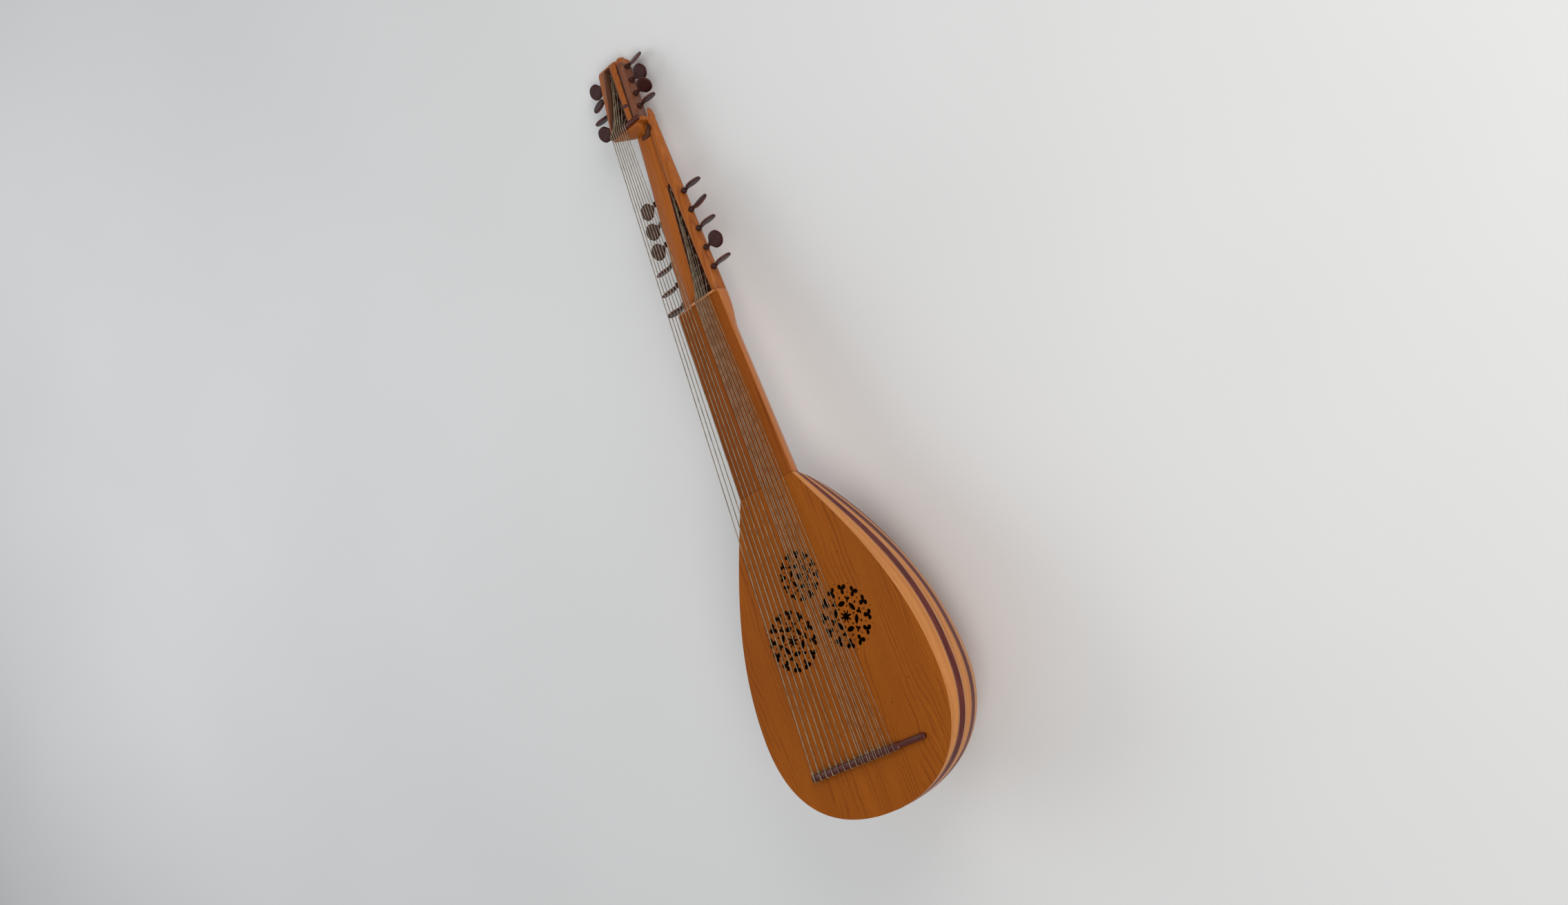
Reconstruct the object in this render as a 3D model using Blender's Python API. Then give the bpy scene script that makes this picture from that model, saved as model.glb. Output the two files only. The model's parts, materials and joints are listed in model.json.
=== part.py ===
"""Archlute with a ribbed bowl, a long neck, and two pegboxes, lying on its back.

The instrument is modelled in its own frame, in metres: +X to the treble side, +Y from the
tail to the head, and +Z out of the soundboard, whose face is Z = 0.  A root empty then tips it
until the bowl and the back of the head both touch the table, with the origin under its middle.
"""
import math

import bmesh
import bpy
from mathutils import Matrix, Vector

# Clearance between pieces that touch
GAP = 0.0003

# Bowl and soundboard: two Bezier arcs each for the half-width and for the depth
BODY_LENGTH = 0.460
BODY_HALF_WIDTH = 0.162
WIDEST_AT = 0.1473
WIDTH_TAIL_HANDLE = 0.0551
WIDTH_LOWER_HANDLE = 0.1304
WIDTH_UPPER_HANDLE = 0.1249
WIDTH_NECK_HANDLE = (0.0874, 0.0496)
BODY_DEPTH = 0.1686
DEEPEST_AT = 0.1582
DEPTH_TAIL_HANDLE = 0.1046
DEPTH_LOWER_HANDLE = 0.0710
DEPTH_UPPER_HANDLE = 0.1306
DEPTH_NECK_HANDLE = (0.0200, 0.0825)
SECTION_POWER = 2.3
SOUNDBOARD_THICKNESS = 0.0020
RIB_THICKNESS = 0.0020
RIB_COUNT = 13
EDGE_RIB_ANGLE = math.radians(10.9)
STRIP_ANGLE = math.radians(6.3)
STRIP_SWELL = 1.35
JOINT_LEAN = 0.075
JOINT_LEAN_FROM = 0.200
JOINT_SWING = (math.radians(5.7), math.radians(2.9))
EDGE_RIB_HEIGHT = 0.0042
RIB_RINGS = 28
TAIL_START = 0.0012
CLASP_THICKNESS = 0.0024
CLASP_CROWN = 0.0007
CLASP_CROWN_SHARE = 0.6
STRIP_TONGUE = 0.0030
BLOCK_CLEARANCE = 0.0005
END_BLOCK_RINGS = 3
END_BLOCK_THICKNESS = 0.010
NECK_BLOCK_RINGS = 5
NECK_BLOCK_REACH = 0.050

# Three pierced roses: (x, y, radius)
ROSE_PAIR_X = 0.0511
ROSE_PAIR_Y = 0.2542
ROSE_PAIR_RADIUS = 0.0430
ROSE_TOP_Y = 0.3298
ROSE_TOP_RADIUS = 0.0347
ROSE_FOLD = 6

# Neck, fingerboard and nut
NECK_JOINT_HALF_WIDTH = 0.0508
NECK_NUT_HALF_WIDTH = 0.0408
NECK_JOINT_DEPTH = 0.0410
NECK_NUT_DEPTH = 0.0330
NUT_END = 0.7370
NECK_SIDES = 12
# The neck's section grows squarer over its last stretch, to meet the lower pegbox
NECK_END_POWER = 5.0
NECK_END_LENGTH = 0.0600
FINGERBOARD_THICKNESS = 0.0025
NUT_WIDTH = 0.0040
NUT_HEIGHT = 0.0020
NUT_BASS_X = -0.0120
NUT_TREBLE_X = 0.0375

# Lower pegbox and the extension that carries the head
EXTENSION_END = 1.0210
EXTENSION_DROP = 0.0080
EXTENSION_TILT = math.radians(3.2)
EXTENSION_HALF_WIDTHS = (0.0370, 0.0188)
EXTENSION_DEPTHS = (0.0240, 0.0170)
BACK_PLATE_THICKNESS = 0.0030
CHEEK_BACK_ROUND = 0.0080
# Fronts of the cheeks from the slot outwards: (share of the cheek's width, depth); the bass
# one slopes down to the slot, and the treble one is rounded
BASS_CHEEK_FRONT = ((0.0, 0.0046), (0.05, 0.0036), (0.36, 0.0), (0.76, 0.0), (0.92, 0.0026),
                    (1.0, 0.0070))
TREBLE_CHEEK_FRONT = ((0.0, 0.0022), (0.20, 0.0004), (0.42, 0.0), (0.64, 0.0010), (0.86, 0.0036),
                      (1.0, 0.0080))
SLOT_END = 0.9140
SLOT_BASS_X = (-0.0065, 0.0050)
SLOT_TREBLE_X = (0.0245, 0.0130)
JOINT_X = (0.0094, 0.0094)
# Horn of the treble cheek beside the upper pegbox: its length, tip half-width and depths
HORN_LENGTH = 0.0130
HORN_TIP_X = 0.0180
HORN_TIP_DEPTHS = (0.0022, 0.0120)
HORN_STEP = 0.0010
GROOVE_END = 0.9620
GROOVE_WIDTH = 0.0018

# Head block, diapason nut and upper pegbox
HEAD_BLOCK_TOP = -0.0053
HEAD_BASS_X = -0.0445
HEAD_TREBLE_X = 0.0180
HEAD_BLOCK_FRONT = 0.0210
HEAD_BLOCK_TREBLE_X = (0.0100, 0.0020)
SHOULDER_THICKNESS = 0.0070
SHOULDER_DROP = 0.0062
DIAPASON_NUT_TOP = 0.0006
DIAPASON_NUT_WIDTH = 0.0065
UPPER_TILT = math.radians(13.5)
UPPER_FRONT = -0.0020
UPPER_LENGTH = 0.1140
UPPER_DEPTH = 0.0240
UPPER_HEEL_LENGTH = 0.0085
UPPER_HEEL_HEIGHT = 0.5 * BACK_PLATE_THICKNESS
UPPER_RECESS = 0.0010
UPPER_EDGE_ROUND = 0.0012
# Edge rounding of the upper pegbox's bass side, and the two beads and the groove along its
# treble side: (distance from the side, depth)
UPPER_BASS_EDGE = ((0.0, 0.0040), (0.0022, 0.0010), (0.0055, 0.0))
UPPER_MOULDING = ((0.0160, 0.0), (0.0134, 0.0008), (0.0118, 0.0026), (0.0112, 0.0050),
                  (0.0092, 0.0050), (0.0082, 0.0026), (0.0062, 0.0012), (0.0036, 0.0012),
                  (0.0014, 0.0024), (0.0003, 0.0046), (0.0, 0.0066), (UPPER_RECESS, 0.0084))
# Sections of the upper pegbox: (place along it, how far its front is lowered, depth)
UPPER_SECTIONS = ((0.0, 0.0, UPPER_DEPTH - UPPER_HEEL_HEIGHT),
                  (UPPER_HEEL_LENGTH, 0.0, UPPER_DEPTH), (UPPER_LENGTH - 0.0100, 0.0, UPPER_DEPTH),
                  (UPPER_LENGTH - 0.0050, 0.0012, UPPER_DEPTH),
                  (UPPER_LENGTH - 0.0018, 0.0036, UPPER_DEPTH), (UPPER_LENGTH, 0.0075, UPPER_DEPTH))
UPPER_BASS_X = (-0.0445, -0.0500)
UPPER_TREBLE_X = (0.0160, -0.0010)
TROUGH_END = 0.1060
TROUGH_BASS_X = (-0.0395, -0.0335)
TROUGH_TREBLE_X = (-0.0060, -0.0250)

# Pegs
PEG_SIDES = 10
SHAFT_RADIUS = 0.0033
SHAFT_TIP_RADIUS = 0.0030
BORE_CLEARANCE = 0.00045
BORE_FLOOR = 0.0026
BORE_SIDES = 12
TIP_CLEARANCE = 0.0006
PEG_LEAN = math.radians(5.6)
LOWER_PEG_FIRST = 0.7535
LOWER_PEG_PITCH = 0.0154
LOWER_PEG_DEPTH = 0.0090
LOWER_HEAD_SCALE = 1.0
# Places of the upper pegs along their box, on the treble and the bass side by turns
UPPER_PEG_ALONGS = (0.0200, 0.0282, 0.0440, 0.0520, 0.0695, 0.0790, 0.0960, 0.1042)
UPPER_PEG_DEPTH = 0.0130
UPPER_HEAD_SCALE = 0.95
# Peg from its collar to the tip of its key: (distance from the cheek, half-width, half-thickness)
KEY_SHAPE = ((0.0014, 0.0034, 0.0034), (0.0015, 0.0050, 0.0050), (0.0038, 0.0050, 0.0050),
             (0.0050, 0.0029, 0.0029), (0.0095, 0.0026, 0.0024), (0.0125, 0.0062, 0.0022),
             (0.0160, 0.0105, 0.0024), (0.0225, 0.0122, 0.0024), (0.0290, 0.0108, 0.0022),
             (0.0330, 0.0066, 0.0019), (0.0345, 0.0026, 0.0014))
# How far each key is turned from lying flat, in degrees, in the order of the pegs
LOWER_TURNS = (96, 103, 104, 14, 104, 103, 14, 134, 14, 103, 8)
UPPER_TURNS = (104, 20, 42, 104, 16, 150, 134, 14)

# Bridge
BRIDGE_Y = 0.0755
BRIDGE_HALF_WIDTH = 0.0046
BRIDGE_HEIGHT = 0.0082
BRIDGE_BASS_X = -0.1015
BRIDGE_BLOCK_END_X = 0.0590
BRIDGE_TREBLE_X = 0.1060
BRIDGE_WING_HEIGHT = 0.0056

# Strings: one single course, five doubled courses, eight single diapasons
STOPPED_COURSES = 6
DIAPASONS = 8
STOPPED_TREBLE_BRIDGE_X = 0.0545
STOPPED_BRIDGE_PITCH = 0.0112
PAIR_BRIDGE_SPACING = 0.0040
STOPPED_TREBLE_NUT_X = 0.0265
STOPPED_NUT_PITCH = 0.0052
PAIR_NUT_SPACING = 0.0020
DIAPASON_BRIDGE_X = (-0.0130, -0.0920)
DIAPASON_NUT_X = (-0.0090, -0.0390)
FIRST_STRING_RADIUS = 0.00034
STRING_RADIUS_STEP = 0.00003
DIAPASON_RADIUS = 0.00055
DIAPASON_RADIUS_STEP = 0.00002
STRING_TAIL_HEIGHT = 0.0025
STRING_SIDE_CLEARANCE = 0.0024


def make_material(name, color, roughness, metallic=0.0):
    material = bpy.data.materials.new(name)
    material.use_nodes = True
    shader = material.node_tree.nodes["Principled BSDF"]
    shader.inputs["Base Color"].default_value = (*color, 1.0)
    shader.inputs["Roughness"].default_value = roughness
    shader.inputs["Metallic"].default_value = metallic
    material.diffuse_color = (*color, 1.0)
    return material


def link_mesh(name, bm, material, smooth_angle=None):
    """Turn a bmesh into an object under the root, facing out."""
    bmesh.ops.recalc_face_normals(bm, faces=bm.faces)
    mesh = bpy.data.meshes.new(name)
    bm.to_mesh(mesh)
    bm.free()
    if smooth_angle is not None:
        mesh.shade_smooth()
        mesh.set_sharp_from_angle(angle=smooth_angle)
    obj = bpy.data.objects.new(name, mesh)
    bpy.context.scene.collection.objects.link(obj)
    if material is not None:
        mesh.materials.append(material)
    obj.parent = ROOT
    return obj


def add_loft(bm, rings):
    """Skin a closed body through rings of equal point counts, with capped ends."""
    rows = [[bm.verts.new(point) for point in ring] for ring in rings]
    count = len(rows[0])
    for row, following in zip(rows, rows[1:]):
        for i in range(count):
            j = (i + 1) % count
            bm.faces.new((row[i], row[j], following[j], following[i]))
    bm.faces.new(rows[0])
    bm.faces.new(rows[-1])


def loft(name, rings, material, smooth_angle=None):
    bm = bmesh.new()
    add_loft(bm, rings)
    return link_mesh(name, bm, material, smooth_angle)


def make_cutter(name, bm):
    cutter = link_mesh(name, bm, None)
    cutter.hide_render = True
    cutter.display_type = 'WIRE'
    return cutter


def cut(obj, cutter):
    boolean = obj.modifiers.new("cut_" + cutter.name, 'BOOLEAN')
    boolean.operation = 'DIFFERENCE'
    boolean.solver = 'EXACT'
    boolean.object = cutter


def mix(pair, share):
    return pair[0] + (pair[1] - pair[0]) * share


def bezier(p0, p1, p2, p3, t):
    s = 1.0 - t
    return s * s * s * p0 + 3 * s * s * t * p1 + 3 * s * t * t * p2 + t * t * t * p3


def arc_value(y, stations, values):
    """Value at y of a Bezier arc whose y runs steadily from its first to its last station."""
    low, high = 0.0, 1.0
    for _ in range(40):
        middle = 0.5 * (low + high)
        if bezier(*stations, middle) < y:
            low = middle
        else:
            high = middle
    return bezier(*values, 0.5 * (low + high))


def profile(y, peak, peak_at, tail, lower, upper, neck_handle, neck_value):
    y = min(max(y, 0.0), BODY_LENGTH)
    if y <= peak_at:
        return arc_value(y, (0.0, 0.0, peak_at - lower, peak_at), (0.0, tail, peak, peak))
    run, rise = neck_handle
    return arc_value(y, (peak_at, peak_at + upper, BODY_LENGTH - run, BODY_LENGTH),
                     (peak, peak, neck_value + rise, neck_value))


def half_width(y):
    return profile(y, BODY_HALF_WIDTH, WIDEST_AT, WIDTH_TAIL_HANDLE, WIDTH_LOWER_HANDLE,
                   WIDTH_UPPER_HANDLE, WIDTH_NECK_HANDLE, NECK_JOINT_HALF_WIDTH)


def depth(y):
    return profile(y, BODY_DEPTH, DEEPEST_AT, DEPTH_TAIL_HANDLE, DEPTH_LOWER_HANDLE,
                   DEPTH_UPPER_HANDLE, DEPTH_NECK_HANDLE, NECK_JOINT_DEPTH)


def section_radius(angle, width, deep, power=SECTION_POWER):
    """Distance from the bowl's axis to its skin, at an angle below the soundboard."""
    across = abs(math.cos(angle)) / width
    down = abs(math.sin(angle)) / deep
    return (across ** power + down ** power) ** (-1.0 / power)


def bowl_radius(angle, y):
    return section_radius(angle, half_width(y), depth(y))


def ring_stations():
    """Places along the body where the ribs are drawn, closer together at both ends."""
    span = BODY_LENGTH - TAIL_START
    return [TAIL_START + span * 0.5 * (1.0 - math.cos(math.pi * i / RIB_RINGS))
            for i in range(RIB_RINGS + 1)]


def joint_angle(index, y):
    """Angle of a joint between ribs and strips, counted from the treble edge, at one station.

    Strips keep their width where the bowl narrows, and joints near the edge rise to the tail.
    """
    if index == 0:
        return 0.0
    if index >= RIB_COUNT:
        return math.pi - joint_angle(2 * RIB_COUNT - 1 - index, y)
    inner_ribs = math.pi - 2 * EDGE_RIB_ANGLE - STRIP_ANGLE * (RIB_COUNT - 1)
    pitch = STRIP_ANGLE + inner_ribs / (RIB_COUNT - 2)
    centre = EDGE_RIB_ANGLE + 0.5 * STRIP_ANGLE + pitch * ((index - 1) // 2)
    width = half_width(y)
    lean = JOINT_LEAN * (y - JOINT_LEAN_FROM) / width
    limit = JOINT_SWING[0] if lean < 0.0 else JOINT_SWING[1]
    centre += limit * math.tanh(lean / limit) * math.cos(centre)
    swell = min(BODY_HALF_WIDTH / width, STRIP_SWELL)
    edge = 0.5 * STRIP_ANGLE * swell * (-1 if index % 2 else 1)
    return max(centre + edge, math.asin(EDGE_RIB_HEIGHT / width))


def skin_point(plane, offset, y, sunk):
    """Point of the bowl at an offset from a joint plane, sunk under the skin by a thickness."""
    radius = bowl_radius(plane, y)
    for _ in range(3):
        radius = bowl_radius(plane + math.asin(offset / radius), y)
    step = 0.0004
    angle = plane + math.asin(offset / radius)
    low = max(y - step, 0.5 * TAIL_START)
    high = min(y + step, BODY_LENGTH)
    slope = (bowl_radius(angle, high) - bowl_radius(angle, low)) / (high - low)
    length = math.hypot(1.0, slope)
    inner = radius - sunk / length
    angle = plane + math.asin(offset / inner)
    return (inner * math.cos(angle), y + sunk * slope / length, -inner * math.sin(angle))


def edge_offset(index):
    """Half a joint's gap, or the room for the soundboard at the bowl's two edges."""
    if index in (0, 2 * RIB_COUNT - 1):
        return SOUNDBOARD_THICKNESS + GAP
    return 0.5 * GAP


def add_stave(bm, index, tongue=0.0):
    """One rib or strip, between two neighbouring joints, with a tongue at the tail."""
    start = edge_offset(index)
    end = -edge_offset(index + 1)
    rings = []
    for y in ring_stations():
        low, high = joint_angle(index, y), joint_angle(index + 1, y)
        rings.append([skin_point(low, start, y, 0.0), skin_point(high, end, y, 0.0),
                      skin_point(high, end, y, RIB_THICKNESS),
                      skin_point(low, start, y, RIB_THICKNESS)])
    if tongue:
        radius = bowl_radius(joint_angle(index, TAIL_START), TAIL_START)
        share = (radius - tongue) / radius
        rings.insert(0, [(x * share, y, z * share) for x, y, z in rings[0]])
    add_loft(bm, rings)


def inner_ring(y, sunk):
    """Ring of points under the ribs, one on each joint, closed along the soundboard."""
    last = 2 * RIB_COUNT - 1
    ring = []
    for index in range(last + 1):
        offset = 0.0
        if index == 0:
            offset = edge_offset(index)
        if index == last:
            offset = -edge_offset(index)
        ring.append(skin_point(joint_angle(index, y), offset, y, sunk))
    return ring


def build_bowl():
    for i in range(RIB_COUNT):
        bm = bmesh.new()
        add_stave(bm, 2 * i)
        link_mesh("rib_%02d" % (i + 1), bm, WOODS["rib"], math.radians(30))


def build_strips():
    """The strips between the ribs, joined at the tail by a clasp that closes the bowl."""
    bm = bmesh.new()
    for i in range(RIB_COUNT - 1):
        add_stave(bm, 2 * i + 1, STRIP_TONGUE)
    strips = make_cutter("strip_set", bm)
    start = TAIL_START - GAP
    rings = [clasp_ring(CLASP_CROWN_SHARE, start - CLASP_CROWN), clasp_ring(1.0, start),
             clasp_ring(1.0, start + CLASP_THICKNESS)]
    clasp = loft("rib_strips", rings, WOODS["strip"], math.radians(30))
    union = clasp.modifiers.new("join_strips", 'BOOLEAN')
    union.operation = 'UNION'
    union.solver = 'EXACT'
    union.object = strips


def flat_ring(ring, y):
    return [(x, y, z) for x, _, z in ring]


def clasp_ring(reach, y):
    """The clasp's edge, a gap inside the ribs' tail ends, drawn in by the given share."""
    top = -(SOUNDBOARD_THICKNESS + GAP)
    ring = []
    for x, _, z in inner_ring(TAIL_START, RIB_THICKNESS):
        radius = math.hypot(x, z)
        share = (radius - GAP) / radius * reach
        ring.append((x * share, y, min(z * share, top)))
    return ring


def shrink_ring(ring, reach, y):
    """The ring pulled towards its own edge line by the given share, at one station."""
    top = -(SOUNDBOARD_THICKNESS + GAP)
    return [(x * reach, y, top + (z - top) * reach) for x, _, z in ring]


def build_end_block():
    stations = ring_stations()
    sunk = RIB_THICKNESS + GAP + BLOCK_CLEARANCE
    rings = [inner_ring(y, sunk) for y in stations[:END_BLOCK_RINGS]]
    back = max(point[1] for point in rings[-1]) + END_BLOCK_THICKNESS
    loft("end_block", rings + [flat_ring(rings[-1], back)], WOODS["block"])


def build_neck_block():
    sunk = RIB_THICKNESS + GAP + BLOCK_CLEARANCE
    rings = [inner_ring(y, sunk) for y in ring_stations()[-NECK_BLOCK_RINGS:]]
    start = min(point[1] for point in rings[0]) - 0.5 * NECK_BLOCK_REACH
    taper = 0.55
    loft("neck_block", [shrink_ring(rings[0], taper, start)] + rings, WOODS["block"])


def prism(bm, points):
    """A cutter through the soundboard from a flat outline."""
    over = 0.001
    add_loft(bm, [[(x, y, over) for x, y in points],
                  [(x, y, -SOUNDBOARD_THICKNESS - over) for x, y in points]])


def polar(centre, radius, angle):
    return (centre[0] + radius * math.cos(angle), centre[1] + radius * math.sin(angle))


def blob(centre, spin, reach):
    """Closed outline round a centre, from a reach in each of some equal directions."""
    count = len(reach)
    return [polar(centre, reach[i], spin + 2 * math.pi * i / count) for i in range(count)]


def add_rose(bm, centre, radius):
    """Star, leaves, diamonds and trefoils of one pierced rose."""
    star = (0.175 * radius, 0.095 * radius) * (ROSE_FOLD + 2)
    prism(bm, blob(centre, math.pi / 2, star))
    for i in range(ROSE_FOLD):
        ray = math.pi / 2 + 2 * math.pi * i / ROSE_FOLD
        between = ray + math.pi / ROSE_FOLD
        leaf = polar(centre, 0.36 * radius, ray)
        long, short, corner = 0.125 * radius, 0.060 * radius, 0.085 * radius
        prism(bm, blob(leaf, ray + math.pi / 2, (long, corner, short, corner) * 2))
        diamond = polar(centre, 0.52 * radius, between)
        prism(bm, blob(diamond, between, (0.065 * radius, 0.050 * radius) * 2))
    for i in range(2 * ROSE_FOLD):
        angle = math.pi / 2 + math.pi * (i + 0.5) / ROSE_FOLD
        trefoil = polar(centre, 0.785 * radius, angle)
        lobe, neck = 0.145 * radius, 0.050 * radius
        prism(bm, blob(trefoil, angle + math.pi, (lobe, 0.80 * lobe, neck, 0.80 * lobe) * 3))


def build_soundboard():
    stations = [0.0] + ring_stations()
    edge = [(half_width(y), y) for y in stations]
    outline = edge + [(-x, y) for x, y in reversed(edge[1:])]
    rings = [[(x, y, z) for x, y in outline] for z in (0.0, -SOUNDBOARD_THICKNESS)]
    board = loft("soundboard", rings, WOODS["soundboard"])
    holes = bmesh.new()
    add_rose(holes, (0.0, ROSE_TOP_Y), ROSE_TOP_RADIUS)
    for side in (-1, 1):
        add_rose(holes, (side * ROSE_PAIR_X, ROSE_PAIR_Y), ROSE_PAIR_RADIUS)
    cut(board, make_cutter("rose_holes", holes))


def neck_section(y, top):
    """D-shaped section of the neck, flat on top at the given height."""
    share = (y - BODY_LENGTH) / (NUT_END - BODY_LENGTH)
    width = mix((NECK_JOINT_HALF_WIDTH, NECK_NUT_HALF_WIDTH), share)
    deep = mix((NECK_JOINT_DEPTH, NECK_NUT_DEPTH), share)
    squareness = max(1.0 - (NUT_END - y) / NECK_END_LENGTH, 0.0)
    power = mix((SECTION_POWER, NECK_END_POWER), squareness)
    first = math.asin(-top / section_radius(0.0, width, deep))
    ring = []
    for i in range(NECK_SIDES + 1):
        angle = first + (math.pi - 2 * first) * i / NECK_SIDES
        radius = section_radius(angle, width, deep, power)
        ring.append((radius * math.cos(angle), y, -radius * math.sin(angle)))
    ring[0] = (ring[0][0], y, top)
    ring[-1] = (ring[-1][0], y, top)
    return ring


def build_neck():
    start = BODY_LENGTH + GAP
    top = -(FINGERBOARD_THICKNESS + GAP)
    square = NUT_END - NECK_END_LENGTH
    stations = [mix((start, square), i / 2) for i in range(3)]
    stations += [mix((square, NUT_END), i / 3) for i in range(1, 4)]
    rings = [neck_section(y, top) for y in stations]
    loft("neck", rings, WOODS["neck"], math.radians(35))
    widths = (NECK_JOINT_HALF_WIDTH, NECK_NUT_HALF_WIDTH)
    end = NUT_END - NUT_WIDTH - GAP
    share = (end - BODY_LENGTH) / (NUT_END - BODY_LENGTH)
    rings = []
    for y, half in ((start, widths[0]), (end, mix(widths, share))):
        rings.append([(half, y, -FINGERBOARD_THICKNESS), (half, y, 0.0),
                      (-half, y, 0.0), (-half, y, -FINGERBOARD_THICKNESS)])
    loft("fingerboard", rings, WOODS["fingerboard"])
    crown = 0.0008
    outline = [(NUT_END - NUT_WIDTH, -FINGERBOARD_THICKNESS),
               (NUT_END - NUT_WIDTH, NUT_HEIGHT - crown), (NUT_END - NUT_WIDTH + crown, NUT_HEIGHT),
               (NUT_END - crown, NUT_HEIGHT), (NUT_END, NUT_HEIGHT - crown),
               (NUT_END, -FINGERBOARD_THICKNESS)]
    loft("nut", [[(x, y, z) for y, z in outline] for x in (NUT_BASS_X, NUT_TREBLE_X)],
         WOODS["nut"])


def extension_front(y):
    """Height of the extension's front face."""
    return -EXTENSION_DROP - (y - NUT_END) * math.tan(EXTENSION_TILT)


def extension_share(y):
    return (y - NUT_END) / (EXTENSION_END - NUT_END)


def extension_half(y):
    return mix(EXTENSION_HALF_WIDTHS, extension_share(y))


def extension_depth(y):
    return mix(EXTENSION_DEPTHS, extension_share(y))


def cheek_inner_x(y, side):
    """Inner face of a cheek: the peg slot, then a narrowing groove, then the glue joint."""
    joint = mix(JOINT_X, extension_share(y))
    if y <= SLOT_END:
        share = (y - NUT_END) / (SLOT_END - NUT_END)
        return mix(SLOT_TREBLE_X if side > 0 else SLOT_BASS_X, share)
    share = min((y - SLOT_END) / (GROOVE_END - SLOT_END), 1.0)
    return joint + side * 0.5 * mix((GROOVE_WIDTH, GAP), share)


def round_inset(below, radius):
    """How far a rounded edge of some radius is set in, at a depth below its start."""
    return radius - math.sqrt(max(radius * radius - below * below, 0.0))


def cheek_section(y, side):
    front = extension_front(y)
    half = extension_half(y)
    inner = side * cheek_inner_x(y, side)
    base = extension_depth(y) - BACK_PLATE_THICKNESS - GAP
    waist = extension_depth(y) - CHEEK_BACK_ROUND
    inset = round_inset(base - waist, CHEEK_BACK_ROUND)
    shares = TREBLE_CHEEK_FRONT if side > 0 else BASS_CHEEK_FRONT
    outline = [(mix((inner, half), share), down) for share, down in shares]
    outline += [(half, waist), (half - inset, base), (inner, base)]
    return [(side * x, y, front - down) for x, down in outline]


def horn_section(share):
    """Section of the treble cheek's horn, from the extension's end to its tip."""
    y = EXTENSION_END + share * HORN_LENGTH
    inner = UPPER_TREBLE_X[0] + GAP
    half = mix((extension_half(EXTENSION_END), HORN_TIP_X), share)
    front = extension_front(y)
    low = mix((0.0, HORN_TIP_DEPTHS[0]), share)
    deep = mix((extension_depth(EXTENSION_END) - BACK_PLATE_THICKNESS - GAP, HORN_TIP_DEPTHS[1]), share)
    squeeze = (deep - low) / (extension_depth(EXTENSION_END) - BACK_PLATE_THICKNESS - GAP)
    ring = cheek_section(EXTENSION_END, 1)
    first, last = cheek_inner_x(EXTENSION_END, 1), extension_half(EXTENSION_END)
    top = extension_front(EXTENSION_END)
    return [(mix((inner, half), (x - first) / (last - first)), y, front - low - (top - z) * squeeze)
            for x, _, z in ring]


def cheek_stations():
    step = 0.0010
    return [NUT_END + GAP, SLOT_END, SLOT_END + step, GROOVE_END, EXTENSION_END]


def build_extension():
    bores = bmesh.new()
    for i, place in enumerate(lower_peg_places()):
        side = 1 if i % 2 else -1
        add_bore(bores, place, EXTENSION_TILT, side, lower_reach(place, -side))
    cutter = make_cutter("lower_bores", bores)
    for name, side in (("pegbox_bass_cheek", -1), ("pegbox_treble_cheek", 1)):
        rings = [cheek_section(y, side) for y in cheek_stations()]
        if side > 0:
            rings[-1] = cheek_section(EXTENSION_END - HORN_STEP, side)
            rings += [horn_section(0.0), horn_section(0.6), horn_section(1.0)]
        cheek = loft(name, rings, WOODS["cheek"], math.radians(40))
        cut(cheek, cutter)
    rings = []
    for y in (NUT_END + GAP, EXTENSION_END):
        bottom = extension_depth(y)
        top = bottom - BACK_PLATE_THICKNESS
        waist = bottom - CHEEK_BACK_ROUND
        ring = []
        for down in (top, 0.5 * (top + bottom), bottom):
            half = extension_half(y) - round_inset(down - waist, CHEEK_BACK_ROUND)
            half = max(half, extension_half(y) - 0.8 * CHEEK_BACK_ROUND)
            ring.append((half, y, extension_front(y) - down))
        rings.append(ring + [(-x, y, z) for x, y, z in reversed(ring)])
    loft("pegbox_back", rings, WOODS["cheek"], math.radians(40))


def lower_peg_places():
    """Axis (y, z) of each lower peg, from the nut up."""
    count = 2 * STOPPED_COURSES - 1
    stations = [LOWER_PEG_FIRST + LOWER_PEG_PITCH * i for i in range(count)]
    return [(y, extension_front(y) - LOWER_PEG_DEPTH) for y in stations]


def leaned(tilt):
    """Turn of a peg from the instrument's X axis to its own, in the plane of its box's front."""
    return Matrix.Rotation(PEG_LEAN, 3, Vector((0.0, math.sin(tilt), math.cos(tilt))))


def axis_point(place, tilt, reach):
    """Point of a peg's axis at a distance towards the treble side from the middle plane."""
    return Vector((0.0, *place)) + leaned(tilt) @ Vector((reach, 0.0, 0.0))


def at_x(place, tilt, x):
    """Where a peg's axis passes one place across the instrument, as (y, z)."""
    return axis_point(place, tilt, x / math.cos(PEG_LEAN))[1:]


def wall_reach(half, taper, side):
    """Distance along a leaned peg's axis to a wall whose half-width changes by a taper."""
    return half / (math.cos(PEG_LEAN) - side * taper * math.sin(PEG_LEAN))


def lower_reach(place, side):
    taper = (EXTENSION_HALF_WIDTHS[1] - EXTENSION_HALF_WIDTHS[0]) / (EXTENSION_END - NUT_END)
    return wall_reach(extension_half(place[0]), taper, side)


def upper_reach(along, side):
    """Distance to the face that an upper peg's collar sits on."""
    share = along / UPPER_LENGTH
    if side > 0:
        taper = (UPPER_TREBLE_X[1] - UPPER_TREBLE_X[0]) / UPPER_LENGTH
        return wall_reach(mix(UPPER_TREBLE_X, share) - UPPER_RECESS, taper, side)
    taper = (UPPER_BASS_X[0] - UPPER_BASS_X[1]) / UPPER_LENGTH
    return wall_reach(-mix(UPPER_BASS_X, share), taper, side)


def upper_point(x, along, down):
    """Point of the upper pegbox from a place along its front and a depth under it."""
    y = EXTENSION_END + GAP + along * math.cos(UPPER_TILT) - down * math.sin(UPPER_TILT)
    z = UPPER_FRONT - along * math.sin(UPPER_TILT) - down * math.cos(UPPER_TILT)
    return (x, y, z)


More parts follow.
